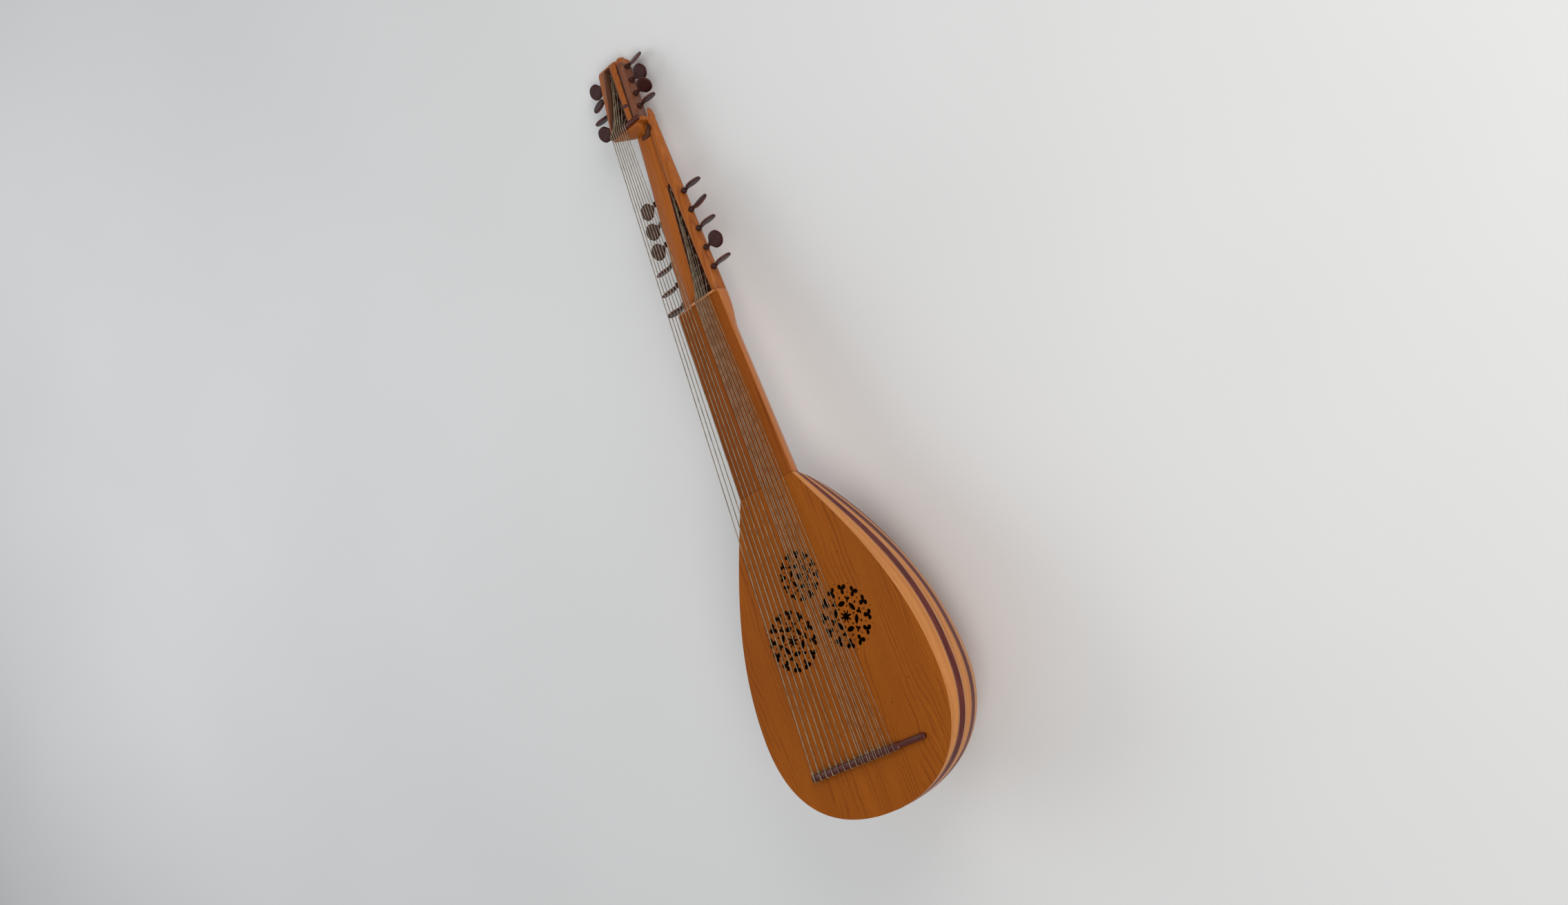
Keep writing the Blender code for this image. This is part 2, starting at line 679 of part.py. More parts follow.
def upper_peg_places():
    """Axis (y, z) of each upper peg."""
    points = [upper_point(0.0, along, UPPER_PEG_DEPTH) for along in UPPER_PEG_ALONGS]
    return [(y, z) for _, y, z in points]


def add_bore(bm, place, tilt, side, far_cheek):
    """A cutter for one peg, in through the cheek on its side and part way into the other."""
    radius = SHAFT_RADIUS + BORE_CLEARANCE
    angles = [2 * math.pi * i / BORE_SIDES for i in range(BORE_SIDES)]
    centre, turn = Vector((0.0, *place)), leaned(tilt)
    ends = (side * (BORE_FLOOR - far_cheek), side * BODY_HALF_WIDTH)
    add_loft(bm, [[centre + turn @ Vector((x, radius * math.cos(a), radius * math.sin(a)))
                   for a in angles] for x in ends])


def upper_section(along, rise, depth):
    """Section of the upper pegbox; rise lowers its front.

    The first section stands square against the extension, and the others lie across the box.
    """
    share = along / UPPER_LENGTH
    bass = mix(UPPER_BASS_X, share)
    treble = mix(UPPER_TREBLE_X, share)
    soft = UPPER_EDGE_ROUND
    outline = [(bass + soft, UPPER_DEPTH), (bass, UPPER_DEPTH - soft)]
    outline += [(bass + inset, down) for inset, down in UPPER_BASS_EDGE]
    outline += [(treble - inset, down) for inset, down in UPPER_MOULDING]
    treble -= UPPER_RECESS
    outline += [(treble, UPPER_DEPTH - soft), (treble - soft, UPPER_DEPTH)]
    lean = math.tan(UPPER_TILT)
    squeeze = (depth - rise) / UPPER_DEPTH
    places = [(x, rise + down * squeeze) for x, down in outline]
    return [upper_point(x, max(along, down * lean), down) for x, down in places]


def build_upper_pegbox():
    """Box carved from one piece, with a trough that is open at the front and at the nut."""
    box = loft("upper_pegbox", [upper_section(*section) for section in UPPER_SECTIONS],
               WOODS["cheek"], math.radians(40))
    trough = bmesh.new()
    over = 0.004
    floor = UPPER_DEPTH - BACK_PLATE_THICKNESS
    rings = []
    for along in (-over, TROUGH_END):
        share = along / TROUGH_END
        bass = mix(TROUGH_BASS_X, share)
        treble = mix(TROUGH_TREBLE_X, share)
        rings.append([upper_point(bass, along, -over), upper_point(treble, along, -over),
                      upper_point(treble, along, floor), upper_point(bass, along, floor)])
    add_loft(trough, rings)
    cut(box, make_cutter("upper_trough", trough))
    bores = bmesh.new()
    for i, place in enumerate(upper_peg_places()):
        side = -1 if i % 2 else 1
        add_bore(bores, place, UPPER_TILT, side, upper_reach(UPPER_PEG_ALONGS[i], -side))
    cut(box, make_cutter("upper_bores", bores))


def hull(name, points, material):
    """Convex solid round some points."""
    bm = bmesh.new()
    for point in points:
        bm.verts.new(point)
    bmesh.ops.convex_hull(bm, input=bm.verts)
    return link_mesh(name, bm, material)


def build_head_block():
    """Faceted block that lifts the diapason nut, with a shoulder to the treble cheek."""
    end = EXTENSION_END
    toe = end - HEAD_BLOCK_FRONT
    half = extension_half(end) - 0.0006
    inner = HEAD_BLOCK_TREBLE_X[0]

    def seat(x, y):
        return (x, y, extension_front(y) + GAP)

    block = hull("head_block", [
        (HEAD_BASS_X, end - 0.0095, HEAD_BLOCK_TOP), (HEAD_BASS_X, end, HEAD_BLOCK_TOP),
        (inner, end, HEAD_BLOCK_TOP), (inner, end - 0.0110, HEAD_BLOCK_TOP),
        (HEAD_BASS_X, end, HEAD_BLOCK_TOP - 0.0090),
        (HEAD_BASS_X, end - 0.0070, HEAD_BLOCK_TOP - 0.0070),
        seat(-half, end), seat(inner, end), seat(HEAD_BLOCK_TREBLE_X[1], toe),
        seat(-half, toe + 0.0030)], WOODS["cheek"])
    shoulder = hull("shoulder_shape", [
        point for y in (end - SHOULDER_THICKNESS, end)
        for point in ((0.0, y, HEAD_BLOCK_TOP), (HEAD_TREBLE_X - 0.0010, y, HEAD_BLOCK_TOP),
                      (half, y, HEAD_BLOCK_TOP - SHOULDER_DROP), seat(0.0, y), seat(half, y))], None)
    shoulder.hide_render = True
    union = block.modifiers.new("add_shoulder", 'BOOLEAN')
    union.operation = 'UNION'
    union.solver = 'EXACT'
    union.object = shoulder
    crown = 0.0010
    back = end
    front = end - DIAPASON_NUT_WIDTH
    foot = HEAD_BLOCK_TOP + GAP
    outline = [(front, foot), (front, DIAPASON_NUT_TOP - crown), (front + crown, DIAPASON_NUT_TOP),
               (back - crown, DIAPASON_NUT_TOP), (back, DIAPASON_NUT_TOP - crown), (back, foot)]
    loft("diapason_nut", [[(x, y, z) for y, z in outline] for x in (HEAD_BASS_X, HEAD_TREBLE_X)],
         WOODS["ebony"])


def build_bridge():
    """String block with a plain low wing on its treble side."""
    half = BRIDGE_HALF_WIDTH

    def section(x, height, share):
        y_back = BRIDGE_Y - half * share
        y_front = BRIDGE_Y + half * share
        soft = 0.0010 * share
        return [(x, y_back, GAP), (x, y_back, height - soft), (x, y_back + soft, height),
                (x, y_front - 2 * soft, height), (x, y_front, 0.55 * height), (x, y_front, GAP)]

    step = 0.0016
    rings = [section(BRIDGE_BASS_X, 0.45 * BRIDGE_HEIGHT, 0.7),
             section(BRIDGE_BASS_X + 0.0040, 0.62 * BRIDGE_HEIGHT, 0.9),
             section(BRIDGE_BASS_X + 0.0040 + step, BRIDGE_HEIGHT, 1.0),
             section(BRIDGE_BLOCK_END_X, BRIDGE_HEIGHT, 1.0),
             section(BRIDGE_BLOCK_END_X + step, BRIDGE_WING_HEIGHT, 0.88),
             section(BRIDGE_TREBLE_X - 0.0050, BRIDGE_WING_HEIGHT, 0.88),
             section(BRIDGE_TREBLE_X, 0.6 * BRIDGE_WING_HEIGHT, 0.6)]
    loft("bridge", rings, WOODS["ebony"])


def build_peg(name, place, tilt, side, cheek, far_cheek, scale, turn):
    """One peg, its origin on its axis; side is +1 where the key is on the treble side."""
    tip = BORE_FLOOR + TIP_CLEARANCE - far_cheek
    stations = [(tip, SHAFT_TIP_RADIUS, SHAFT_TIP_RADIUS),
                (cheek - 0.0004, SHAFT_RADIUS, SHAFT_RADIUS)]
    stations += [(cheek + reach * scale, wide * scale, thick * scale)
                 for reach, wide, thick in KEY_SHAPE]
    spin = math.radians(turn)
    rings = []
    for x, wide, thick in stations:
        ring = []
        for i in range(PEG_SIDES):
            a = 2 * math.pi * i / PEG_SIDES
            v, w = wide * math.cos(a), thick * math.sin(a)
            ring.append((side * x, v * math.cos(spin) - w * math.sin(spin),
                         v * math.sin(spin) + w * math.cos(spin)))
        rings.append(ring)
    peg = loft(name, rings, WOODS["peg"], math.radians(50))
    peg.location = (0.0, *place)
    peg.rotation_euler = leaned(tilt).to_euler()
    return peg


def build_pegs():
    number = 1
    for i, place in enumerate(lower_peg_places()):
        side = 1 if i % 2 else -1
        build_peg("peg_%02d" % number, place, EXTENSION_TILT, side, lower_reach(place, side),
                  lower_reach(place, -side), LOWER_HEAD_SCALE, LOWER_TURNS[i])
        number += 1
    for i, place in enumerate(upper_peg_places()):
        side = -1 if i % 2 else 1
        along = UPPER_PEG_ALONGS[i]
        build_peg("peg_%02d" % number, place, UPPER_TILT, side, upper_reach(along, side),
                  upper_reach(along, -side), UPPER_HEAD_SCALE, UPPER_TURNS[i])
        number += 1


def shaft_top(place, tilt, x, radius):
    """Centre of a string where it lies on a peg, at one place across the instrument."""
    y, z = at_x(place, tilt, x)
    return (x, y, z + SHAFT_RADIUS + GAP + radius)


def bridge_start(x, radius):
    """A string's loop over the bridge, from its tail to the front edge."""
    lift = BRIDGE_HEIGHT + GAP + radius
    back = BRIDGE_Y - BRIDGE_HALF_WIDTH - GAP - radius
    front = BRIDGE_Y + BRIDGE_HALF_WIDTH
    corner = 0.0010
    return [(x, back, STRING_TAIL_HEIGHT), (x, back, lift - corner), (x, back + corner, lift),
            (x, front, lift)]


def make_course(name, runs, radius, material):
    """One string, or a doubled course that is one string looped round behind the bridge."""
    points = runs[0]
    if len(runs) == 2:
        points = runs[0][::-1] + runs[1]
    curve = bpy.data.curves.new(name, 'CURVE')
    curve.dimensions = '3D'
    curve.bevel_depth = radius
    curve.bevel_resolution = 2
    curve.use_fill_caps = True
    spline = curve.splines.new('POLY')
    spline.points.add(len(points) - 1)
    for knot, point in zip(spline.points, points):
        knot.co = (*point, 1.0)
    obj = bpy.data.objects.new(name, curve)
    bpy.context.scene.collection.objects.link(obj)
    curve.materials.append(material)
    obj.parent = ROOT


def slot_place(x, spread, middle, low, high):
    """Where a string lies in a slot: its place across the nut, drawn in to the slot's width."""
    half = 0.5 * (high - low) - STRING_SIDE_CLEARANCE
    return 0.5 * (low + high) + (x - middle) * half / spread


def stopped_strings():
    """(course, bridge x, nut x) of each stopped string, from the treble side."""
    strings = [(0, STOPPED_TREBLE_BRIDGE_X, STOPPED_TREBLE_NUT_X)]
    for course in range(1, STOPPED_COURSES):
        bridge = STOPPED_TREBLE_BRIDGE_X - STOPPED_BRIDGE_PITCH * course
        nut = STOPPED_TREBLE_NUT_X + 0.0005 - STOPPED_NUT_PITCH * course
        for side in (1, -1):
            strings.append((course, bridge + side * 0.5 * PAIR_BRIDGE_SPACING,
                            nut + side * 0.5 * PAIR_NUT_SPACING))
    return strings


def by_reach(places, middle):
    """Indices of places across a nut, from the outermost in."""
    return sorted(range(len(places)), key=lambda i: -abs(places[i] - middle))


def build_stopped_strings():
    strings = stopped_strings()
    nut_places = [nut for _, _, nut in strings]
    middle = 0.5 * (min(nut_places) + max(nut_places))
    spread = 0.5 * (max(nut_places) - min(nut_places))
    pegs = lower_peg_places()
    bass = [i for i in by_reach(nut_places, middle) if nut_places[i] < middle]
    treble = [i for i in by_reach(nut_places, middle) if nut_places[i] >= middle]
    peg_of = {}
    for order, i in enumerate(bass):
        peg_of[i] = 2 * order
    for order, i in enumerate(treble):
        peg_of[i] = 2 * order + 1
    runs = [[] for _ in range(STOPPED_COURSES)]
    for i, (course, bridge, nut) in enumerate(strings):
        radius = FIRST_STRING_RADIUS + STRING_RADIUS_STEP * course
        place = pegs[peg_of[i]]
        y = place[0]
        x = slot_place(nut, spread, middle, cheek_inner_x(y, -1), cheek_inner_x(y, 1))
        lift = NUT_HEIGHT + GAP + radius
        run = bridge_start(bridge, radius)
        run += [(nut, NUT_END - NUT_WIDTH, lift), (nut, NUT_END, lift),
                shaft_top(place, EXTENSION_TILT, x, radius)]
        runs[course].append(run)
    for course in range(STOPPED_COURSES):
        radius = FIRST_STRING_RADIUS + STRING_RADIUS_STEP * course
        make_course("course_%02d" % (course + 1), runs[course], radius, WOODS["string"])


def build_diapasons():
    pegs = upper_peg_places()
    middle = 0.5 * sum(DIAPASON_NUT_X)
    spread = 0.5 * abs(DIAPASON_NUT_X[0] - DIAPASON_NUT_X[1])
    half = DIAPASONS // 2
    for i in range(DIAPASONS):
        share = i / (DIAPASONS - 1)
        radius = DIAPASON_RADIUS + DIAPASON_RADIUS_STEP * i
        bridge = mix(DIAPASON_BRIDGE_X, share)
        nut = mix(DIAPASON_NUT_X, share)
        peg = 2 * i if i < half else 2 * (DIAPASONS - 1 - i) + 1
        along = UPPER_PEG_ALONGS[peg] / TROUGH_END
        low, high = mix(TROUGH_BASS_X, along), mix(TROUGH_TREBLE_X, along)
        x = slot_place(nut, spread, middle, low, high)
        lift = DIAPASON_NUT_TOP + GAP + radius
        run = bridge_start(bridge, radius)
        run += [(nut, EXTENSION_END - DIAPASON_NUT_WIDTH, lift), (nut, EXTENSION_END, lift),
                shaft_top(pegs[peg], UPPER_TILT, x, radius)]
        make_course("course_%02d" % (STOPPED_COURSES + i + 1), [run], radius, WOODS["string"])


def stand_on_table():
    """Tip the root until bowl and head touch the table, and centre it over the origin."""
    bpy.context.view_layer.update()
    graph = bpy.context.evaluated_depsgraph_get()
    points = []
    for obj in bpy.data.objects:
        if obj.type not in ('MESH', 'CURVE') or obj.hide_render:
            continue
        evaluated = obj.evaluated_get(graph)
        mesh = evaluated.to_mesh()
        points += [obj.matrix_world @ vertex.co for vertex in mesh.vertices]
        evaluated.to_mesh_clear()
    head = [p for p in points if p.y > EXTENSION_END]
    bowl = [p for p in points if p.y < BODY_LENGTH]
    tilt = min(max(math.atan2(h.z - b.z, h.y - b.y) for b in bowl) for h in head)
    turned = [Matrix.Rotation(-tilt, 3, 'X') @ p for p in points]
    lowest = min(p.z for p in turned)
    middle_x = 0.5 * (min(p.x for p in turned) + max(p.x for p in turned))
    middle_y = 0.5 * (min(p.y for p in turned) + max(p.y for p in turned))
    ROOT.rotation_euler = (-tilt, 0.0, 0.0)
    ROOT.location = (-middle_x, -middle_y, -lowest)
    bpy.context.view_layer.update()


for old in list(bpy.data.objects):
    bpy.data.objects.remove(old, do_unlink=True)

ROOT = bpy.data.objects.new("rest_frame", None)
bpy.context.scene.collection.objects.link(ROOT)

WOODS = {
    "soundboard": make_material("soundboard_spruce", (0.300, 0.088, 0.014), 0.45),
    "rib": make_material("rib_maple", (0.600, 0.290, 0.120), 0.35),
    "strip": make_material("rib_rosewood", (0.130, 0.040, 0.020), 0.35),
    "block": make_material("inner_spruce", (0.450, 0.300, 0.160), 0.70),
    "neck": make_material("neck_maple", (0.520, 0.210, 0.060), 0.40),
    "fingerboard": make_material("fingerboard_wood", (0.290, 0.085, 0.014), 0.42),
    "cheek": make_material("cheek_maple", (0.480, 0.180, 0.045), 0.35),
    "ebony": make_material("bridge_rosewood", (0.090, 0.022, 0.014), 0.35),
    "nut": make_material("nut_wood", (0.460, 0.180, 0.060), 0.35),
    "peg": make_material("peg_rosewood", (0.050, 0.014, 0.010), 0.30),
    "string": make_material("string_gut", (0.420, 0.340, 0.230), 0.50),
}

build_bowl()
build_strips()
build_end_block()
build_neck_block()
build_soundboard()
build_neck()
build_extension()
build_head_block()
build_upper_pegbox()
build_bridge()
build_pegs()
build_stopped_strings()
build_diapasons()
stand_on_table()
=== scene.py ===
"""Looks of the archlute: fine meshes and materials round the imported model.

Pieces are modelled in the instrument's own frame, in metres: +X to the treble side, +Y from the
tail to the head, and +Z out of the soundboard, whose face is Z = 0.  place() then tips them as the
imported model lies, on its bowl and head.
"""
import json
import math

import bmesh
import bpy
from mathutils import Matrix, Vector


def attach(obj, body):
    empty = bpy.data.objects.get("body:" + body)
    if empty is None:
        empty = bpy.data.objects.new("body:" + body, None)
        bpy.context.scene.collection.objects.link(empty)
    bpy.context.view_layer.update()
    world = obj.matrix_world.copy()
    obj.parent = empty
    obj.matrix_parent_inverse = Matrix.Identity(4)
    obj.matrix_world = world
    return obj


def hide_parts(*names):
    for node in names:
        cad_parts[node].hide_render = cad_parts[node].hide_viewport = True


ROOT_BODY = "instrument"

# Bowl: two Bezier arcs each for the half-width and the depth
BODY_LENGTH = 0.460
WIDTH_ARCS = (((0.0, 0.0, 0.0169, 0.1473), (0.0, 0.0551, 0.1620, 0.1620)),
              ((0.1473, 0.2722, 0.3726, 0.4600), (0.1620, 0.1620, 0.1004, 0.0508)))
DEPTH_ARCS = (((0.0, 0.0, 0.0872, 0.1582), (0.0, 0.1046, 0.1686, 0.1686)),
              ((0.1582, 0.2888, 0.4400, 0.4600), (0.1686, 0.1686, 0.1235, 0.0410)))
SECTION_POWER = 2.3
SOUNDBOARD_THICKNESS = 0.0020
EDGE_SOFTNESS = 0.00022
RIB_THICKNESS = 0.0020
RIB_COUNT = 13
EDGE_RIB_ANGLE = math.radians(10.9)
STRIP_ANGLE = math.radians(6.3)
STRIP_SWELL = 1.35
JOINT_LEAN = 0.075
JOINT_LEAN_FROM = 0.200
JOINT_SWING = (math.radians(5.7), math.radians(2.9))
EDGE_RIB_HEIGHT = 0.0042
RIB_RINGS = 84
TAIL_START = 0.0012
SKIN_INSET = 0.0002
JOINT_GAP = 0.0001
PIECE_GAP = 0.0003
CLASP_THICKNESS = 0.0024
CLASP_CROWN = 0.0007

# Roses: (x, y, radius) and their six-fold pattern, as shares of the radius
ROSES = ((0.0, 0.3298, 0.0347), (-0.0511, 0.2542, 0.0430), (0.0511, 0.2542, 0.0430))
ROSE_FOLD = 6
# The cut pattern reaches a little past the circle of the solid's plain holes
ROSE_REACH = 1.07

# Neck
NUT_END = 0.7370
NECK_HALF_WIDTHS = (0.0508, 0.0408)
NECK_DEPTHS = (0.0410, 0.0330)
# The neck's section grows squarer over its last stretch, to meet the lower pegbox
NECK_END_POWER = 5.0
NECK_END_LENGTH = 0.0600
FINGERBOARD_THICKNESS = 0.0025
NUT_WIDTH = 0.0040
NUT_HEIGHT = 0.0020
NUT_X = (-0.0120, 0.0375)

# Extension, head and pegs
EXTENSION_END = 1.0210
EXTENSION_DROP = 0.0080
EXTENSION_TILT = math.radians(3.2)
EXTENSION_HALF_WIDTHS = (0.0370, 0.0188)
EXTENSION_DEPTHS = (0.0240, 0.0170)
BACK_PLATE_THICKNESS = 0.0030
CHEEK_BACK_ROUND = 0.0080
# Fronts of the cheeks from the slot outwards: (share of the cheek's width, depth)
BASS_CHEEK_FRONT = ((0.0, 0.0046), (0.05, 0.0036), (0.36, 0.0), (0.76, 0.0), (0.92, 0.0026),
                    (1.0, 0.0070))
TREBLE_CHEEK_FRONT = ((0.0, 0.0022), (0.20, 0.0004), (0.42, 0.0), (0.64, 0.0010), (0.86, 0.0036),
                      (1.0, 0.0080))
SLOT_END = 0.9140
SLOT_BASS_X = (-0.0065, 0.0050)
SLOT_TREBLE_X = (0.0245, 0.0130)
JOINT_X = 0.0094
GROOVE_END = 0.9620
GROOVE_WIDTH = 0.0018
HORN_LENGTH = 0.0130
HORN_TIP_X = 0.0180
HORN_TIP_DEPTHS = (0.0022, 0.0120)
HORN_STEP = 0.0010
HEAD_X = (-0.0445, 0.0180)
HEAD_BLOCK_TOP = -0.0053
HEAD_BLOCK_FRONT = 0.0210
HEAD_BLOCK_TREBLE_X = (0.0100, 0.0020)
SHOULDER_THICKNESS = 0.0070
SHOULDER_DROP = 0.0062
DIAPASON_NUT_TOP = 0.0006
DIAPASON_NUT_WIDTH = 0.0065
DIAPASON_NUT_FOOT = -0.0050
UPPER_TILT = math.radians(13.5)
UPPER_FRONT = -0.0020
UPPER_LENGTH = 0.1140
UPPER_DEPTH = 0.0240
UPPER_HEEL = (0.0085, 0.0015)
UPPER_RECESS = 0.0010
UPPER_EDGE_ROUND = 0.0012
UPPER_BASS_EDGE = ((0.0, 0.0040), (0.0022, 0.0010), (0.0055, 0.0))
UPPER_MOULDING = ((0.0236, 0.0), (0.0160, 0.0), (0.0134, 0.0008), (0.0118, 0.0026), (0.0112, 0.0050),
                  (0.0092, 0.0050), (0.0082, 0.0026), (0.0062, 0.0012), (0.0036, 0.0012),
                  (0.0014, 0.0024), (0.0003, 0.0046), (0.0, 0.0066), (UPPER_RECESS, 0.0084))
# Distances from the treble side to the rail's groove, painted dark as shade, and to its round edge at
# the trough, and the end of its bead, painted darker as shade on the rail's treble side
GROOVE_INSET = 0.0119
RAIL_INSET = 0.0240
BEAD_SHADE_END = 0.1020
# How far the upper pegbox's front drops towards its top: (place along it, drop)
UPPER_CROWN = ((0.1040, 0.0), (0.1090, 0.0012), (0.1122, 0.0036), (0.1140, 0.0075))
# Band of painted shadow across the rail: its start and end along the box
UPPER_BAND = (0.0235, 0.0300)
UPPER_BASS_X = (-0.0445, -0.0500)
UPPER_TREBLE_X = (0.0160, -0.0010)
TROUGH_END = 0.1060
TROUGH_BASS_X = (-0.0395, -0.0335)
TROUGH_TREBLE_X = (-0.0060, -0.0250)
TROUGH_ROUNDS = (0.0012, 0.0040)
PEG_LEAN = math.radians(5.6)
LOWER_PEG_FIRST = 0.7535
LOWER_PEG_PITCH = 0.0154
LOWER_PEG_DEPTH = 0.0090
UPPER_PEG_ALONGS = (0.0200, 0.0282, 0.0440, 0.0520, 0.0695, 0.0790, 0.0960, 0.1042)
UPPER_PEG_DEPTH = 0.0130
SHAFT_RADIUS = 0.0033
SHAFT_TIP_RADIUS = 0.0030
BORE_CLEARANCE = 0.00025
BORE_FLOOR = 0.0026
TIP_CLEARANCE = 0.0006
UPPER_HEAD_SCALE = 0.95
PEG_SIDES = 32
CHEEK_STEPS = 4
KEY_STEPS = 7
LOWER_TURNS = (96, 103, 104, 14, 104, 103, 14, 134, 14, 103, 8)
UPPER_TURNS = (104, 20, 42, 104, 16, 150, 134, 14)

# Shallow hollow in the extension's front beside the head block, painted dark as shade, and its section downwards
HOLLOW_EDGE = ((0.0078, 1.0158), (0.0138, 1.0112), (0.0158, 1.0035), (0.0122, 0.9972),
               (0.0029, 0.9930), (-0.0065, 0.9940), (-0.0075, 0.9990), (0.0000, 1.0035),
               (0.0048, 1.0090))
HOLLOW_SECTION = ((1.0, -0.0020), (1.0, 0.0022), (0.92, 0.0046), (0.72, 0.0064), (0.35, 0.0072))

# Bridge
BRIDGE_Y = 0.0755
BRIDGE_HALF_WIDTH = 0.0046
BRIDGE_HEIGHT = 0.0082
BRIDGE_X = (-0.1015, 0.1060)
BRIDGE_BLOCK_END_X = 0.0590
BRIDGE_WING_HEIGHT = 0.0056

# Strings
STOPPED_COURSES = 6
DIAPASONS = 8
STOPPED_TREBLE_BRIDGE_X = 0.0545
STOPPED_BRIDGE_PITCH = 0.0112
PAIR_BRIDGE_SPACING = 0.0040
STOPPED_TREBLE_NUT_X = 0.0265
STOPPED_NUT_PITCH = 0.0052
PAIR_NUT_SPACING = 0.0020
DIAPASON_BRIDGE_X = (-0.0130, -0.0920)
DIAPASON_NUT_X = (-0.0090, -0.0390)
FIRST_STRING_RADIUS = 0.00034
STRING_RADIUS_STEP = 0.00003
DIAPASON_RADIUS = 0.00055
DIAPASON_RADIUS_STEP = 0.00002
STRING_TAIL_HEIGHT = 0.0025
STRING_SIDE_CLEARANCE = 0.0024
WINDING_TURNS = 3
# How much further apart the two inmost diapasons' windings start
INMOST_SHIFT = 0.0005
TIE_TURNS = 2

# Camera, in the instrument's frame: the photograph's view
CAMERA_PLACE = (1.45757, 0.03971, 1.69760)
CAMERA_RIGHT = (0.67523, -0.34718, -0.65079)
CAMERA_DOWN = (-0.39158, -0.91643, 0.08261)
FOCAL_PIXELS = 2448.0
PHOTO_WIDTH = 2272.0
SENSOR_WIDTH = 36.0

# Strength of the world as light, and as the camera sees it behind the floor
WORLD_LIGHT = 0.36
WORLD_SEEN = 0.62

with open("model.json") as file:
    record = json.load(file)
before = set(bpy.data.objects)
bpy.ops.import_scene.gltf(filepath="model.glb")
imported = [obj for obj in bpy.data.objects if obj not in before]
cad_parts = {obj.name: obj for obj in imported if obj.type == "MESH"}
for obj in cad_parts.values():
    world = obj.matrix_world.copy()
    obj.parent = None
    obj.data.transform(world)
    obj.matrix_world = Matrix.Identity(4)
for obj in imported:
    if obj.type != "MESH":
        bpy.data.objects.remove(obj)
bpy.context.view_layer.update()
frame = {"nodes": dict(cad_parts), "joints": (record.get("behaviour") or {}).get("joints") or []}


def peg_point(name):
    for joint in frame["joints"]:
        if joint["child"] == name:
            return Vector(joint["pos_m"])
    raise KeyError(name)


def extension_front(y):
    """Height of the extension's front face."""
    return -EXTENSION_DROP - (y - NUT_END) * math.tan(EXTENSION_TILT)


def find_rest_matrix():
    """The instrument's frame as it lies, found from its first and last lower pegs."""
    first, last = peg_point("peg_01"), peg_point("peg_11")
    tilt = math.atan2(first.z - last.z, last.y - first.y) - EXTENSION_TILT
    turn = Matrix.Rotation(-tilt, 4, 'X')
    own = Vector((0.0, LOWER_PEG_FIRST, extension_front(LOWER_PEG_FIRST) - LOWER_PEG_DEPTH))
    return Matrix.Translation(first - turn.to_3x3() @ own) @ turn, tilt


REST, REST_TILT = find_rest_matrix()


def mix(pair, share):
    return pair[0] + (pair[1] - pair[0]) * share


def bezier(points, t):
    s = 1.0 - t
    a, b, c, d = points
    return s * s * s * a + 3 * s * s * t * b + 3 * s * t * t * c + t * t * t * d


def arc_value(y, arcs):
    y = min(max(y, 0.0), BODY_LENGTH)
    stations, values = arcs[0] if y <= arcs[0][0][3] else arcs[1]
    low, high = 0.0, 1.0
    for _ in range(40):
        middle = 0.5 * (low + high)
        if bezier(stations, middle) < y:
            low = middle
        else:
            high = middle
    return bezier(values, 0.5 * (low + high))


def half_width(y):
    return arc_value(y, WIDTH_ARCS)


def section_radius(angle, width, deep, power=SECTION_POWER):
    across = abs(math.cos(angle)) / width
    down = abs(math.sin(angle)) / deep
    return (across ** power + down ** power) ** (-1.0 / power)


def bowl_radius(angle, y):
    return section_radius(angle, half_width(y), arc_value(y, DEPTH_ARCS)) - SKIN_INSET


def new_node(tree, kind, **values):
    """A shader node; keys that name an input set it, and the rest set the node's own fields."""
    made = tree.nodes.new(kind)
    for key, value in values.items():
        label = key.replace("_", " ")
        if label in made.inputs:
            made.inputs[label].default_value = value
        else:
            setattr(made, key, value)
    return made


def calculate(tree, operation, *inputs):
    """A math node's result, from numbers and other nodes' results."""
    made = new_node(tree, "ShaderNodeMath", operation=operation)
    for socket, value in zip(made.inputs, inputs):
        if isinstance(value, (int, float)):
            socket.default_value = value
        else:
            tree.links.new(value, socket)
    return made.outputs["Value"]


def spread(tree, source, low, high, to_low=0.0, to_high=1.0):
    """The source's range from low to high, as another range, with its ends held."""
    made = new_node(tree, "ShaderNodeMapRange", From_Min=low, From_Max=high, To_Min=to_low,
                    To_Max=to_high)
    tree.links.new(source, made.inputs["Value"])
    return made.outputs["Result"]


def blend(tree, share, first, second, kind='MIX'):
    """Mix of two colours, each a tuple or a node's result, by a share."""
    made = new_node(tree, "ShaderNodeMix", data_type='RGBA', blend_type=kind)
    for label, value in (("Factor", share), ("A", first), ("B", second)):
        socket = [s for s in made.inputs if s.name == label and s.type == (
            'VALUE' if label == "Factor" else 'RGBA')][0]
        if isinstance(value, (int, float)):
            socket.default_value = value
        elif isinstance(value, tuple):
            socket.default_value = (*value, 1.0)
        else:
            tree.links.new(value, socket)
    return [s for s in made.outputs if s.type == 'RGBA'][0]


def start_material(name, roughness, coat, specular=0.5):
    material = bpy.data.materials.new(name)
    material.use_nodes = True
    tree = material.node_tree
    shader = tree.nodes["Principled BSDF"]
    shader.inputs["Roughness"].default_value = roughness
    shader.inputs["Specular IOR Level"].default_value = specular
    shader.inputs["Coat Weight"].default_value = coat
    shader.inputs["Coat Roughness"].default_value = 0.16
    return material, tree, shader


def grain_space(tree, uv_map=None):
    """Texture space with the grain along Y: a UV map, or the instrument's own frame."""
    if uv_map:
        return new_node(tree, "ShaderNodeUVMap", uv_map=uv_map).outputs["UV"]
    coordinates = tree.nodes.new("ShaderNodeTexCoord")
    turn = tree.nodes.new("ShaderNodeMapping")
    tree.links.new(coordinates.outputs["Object"], turn.inputs["Vector"])
    turn.inputs["Rotation"].default_value = (REST_TILT, 0.0, 0.0)
    return turn.outputs["Vector"]


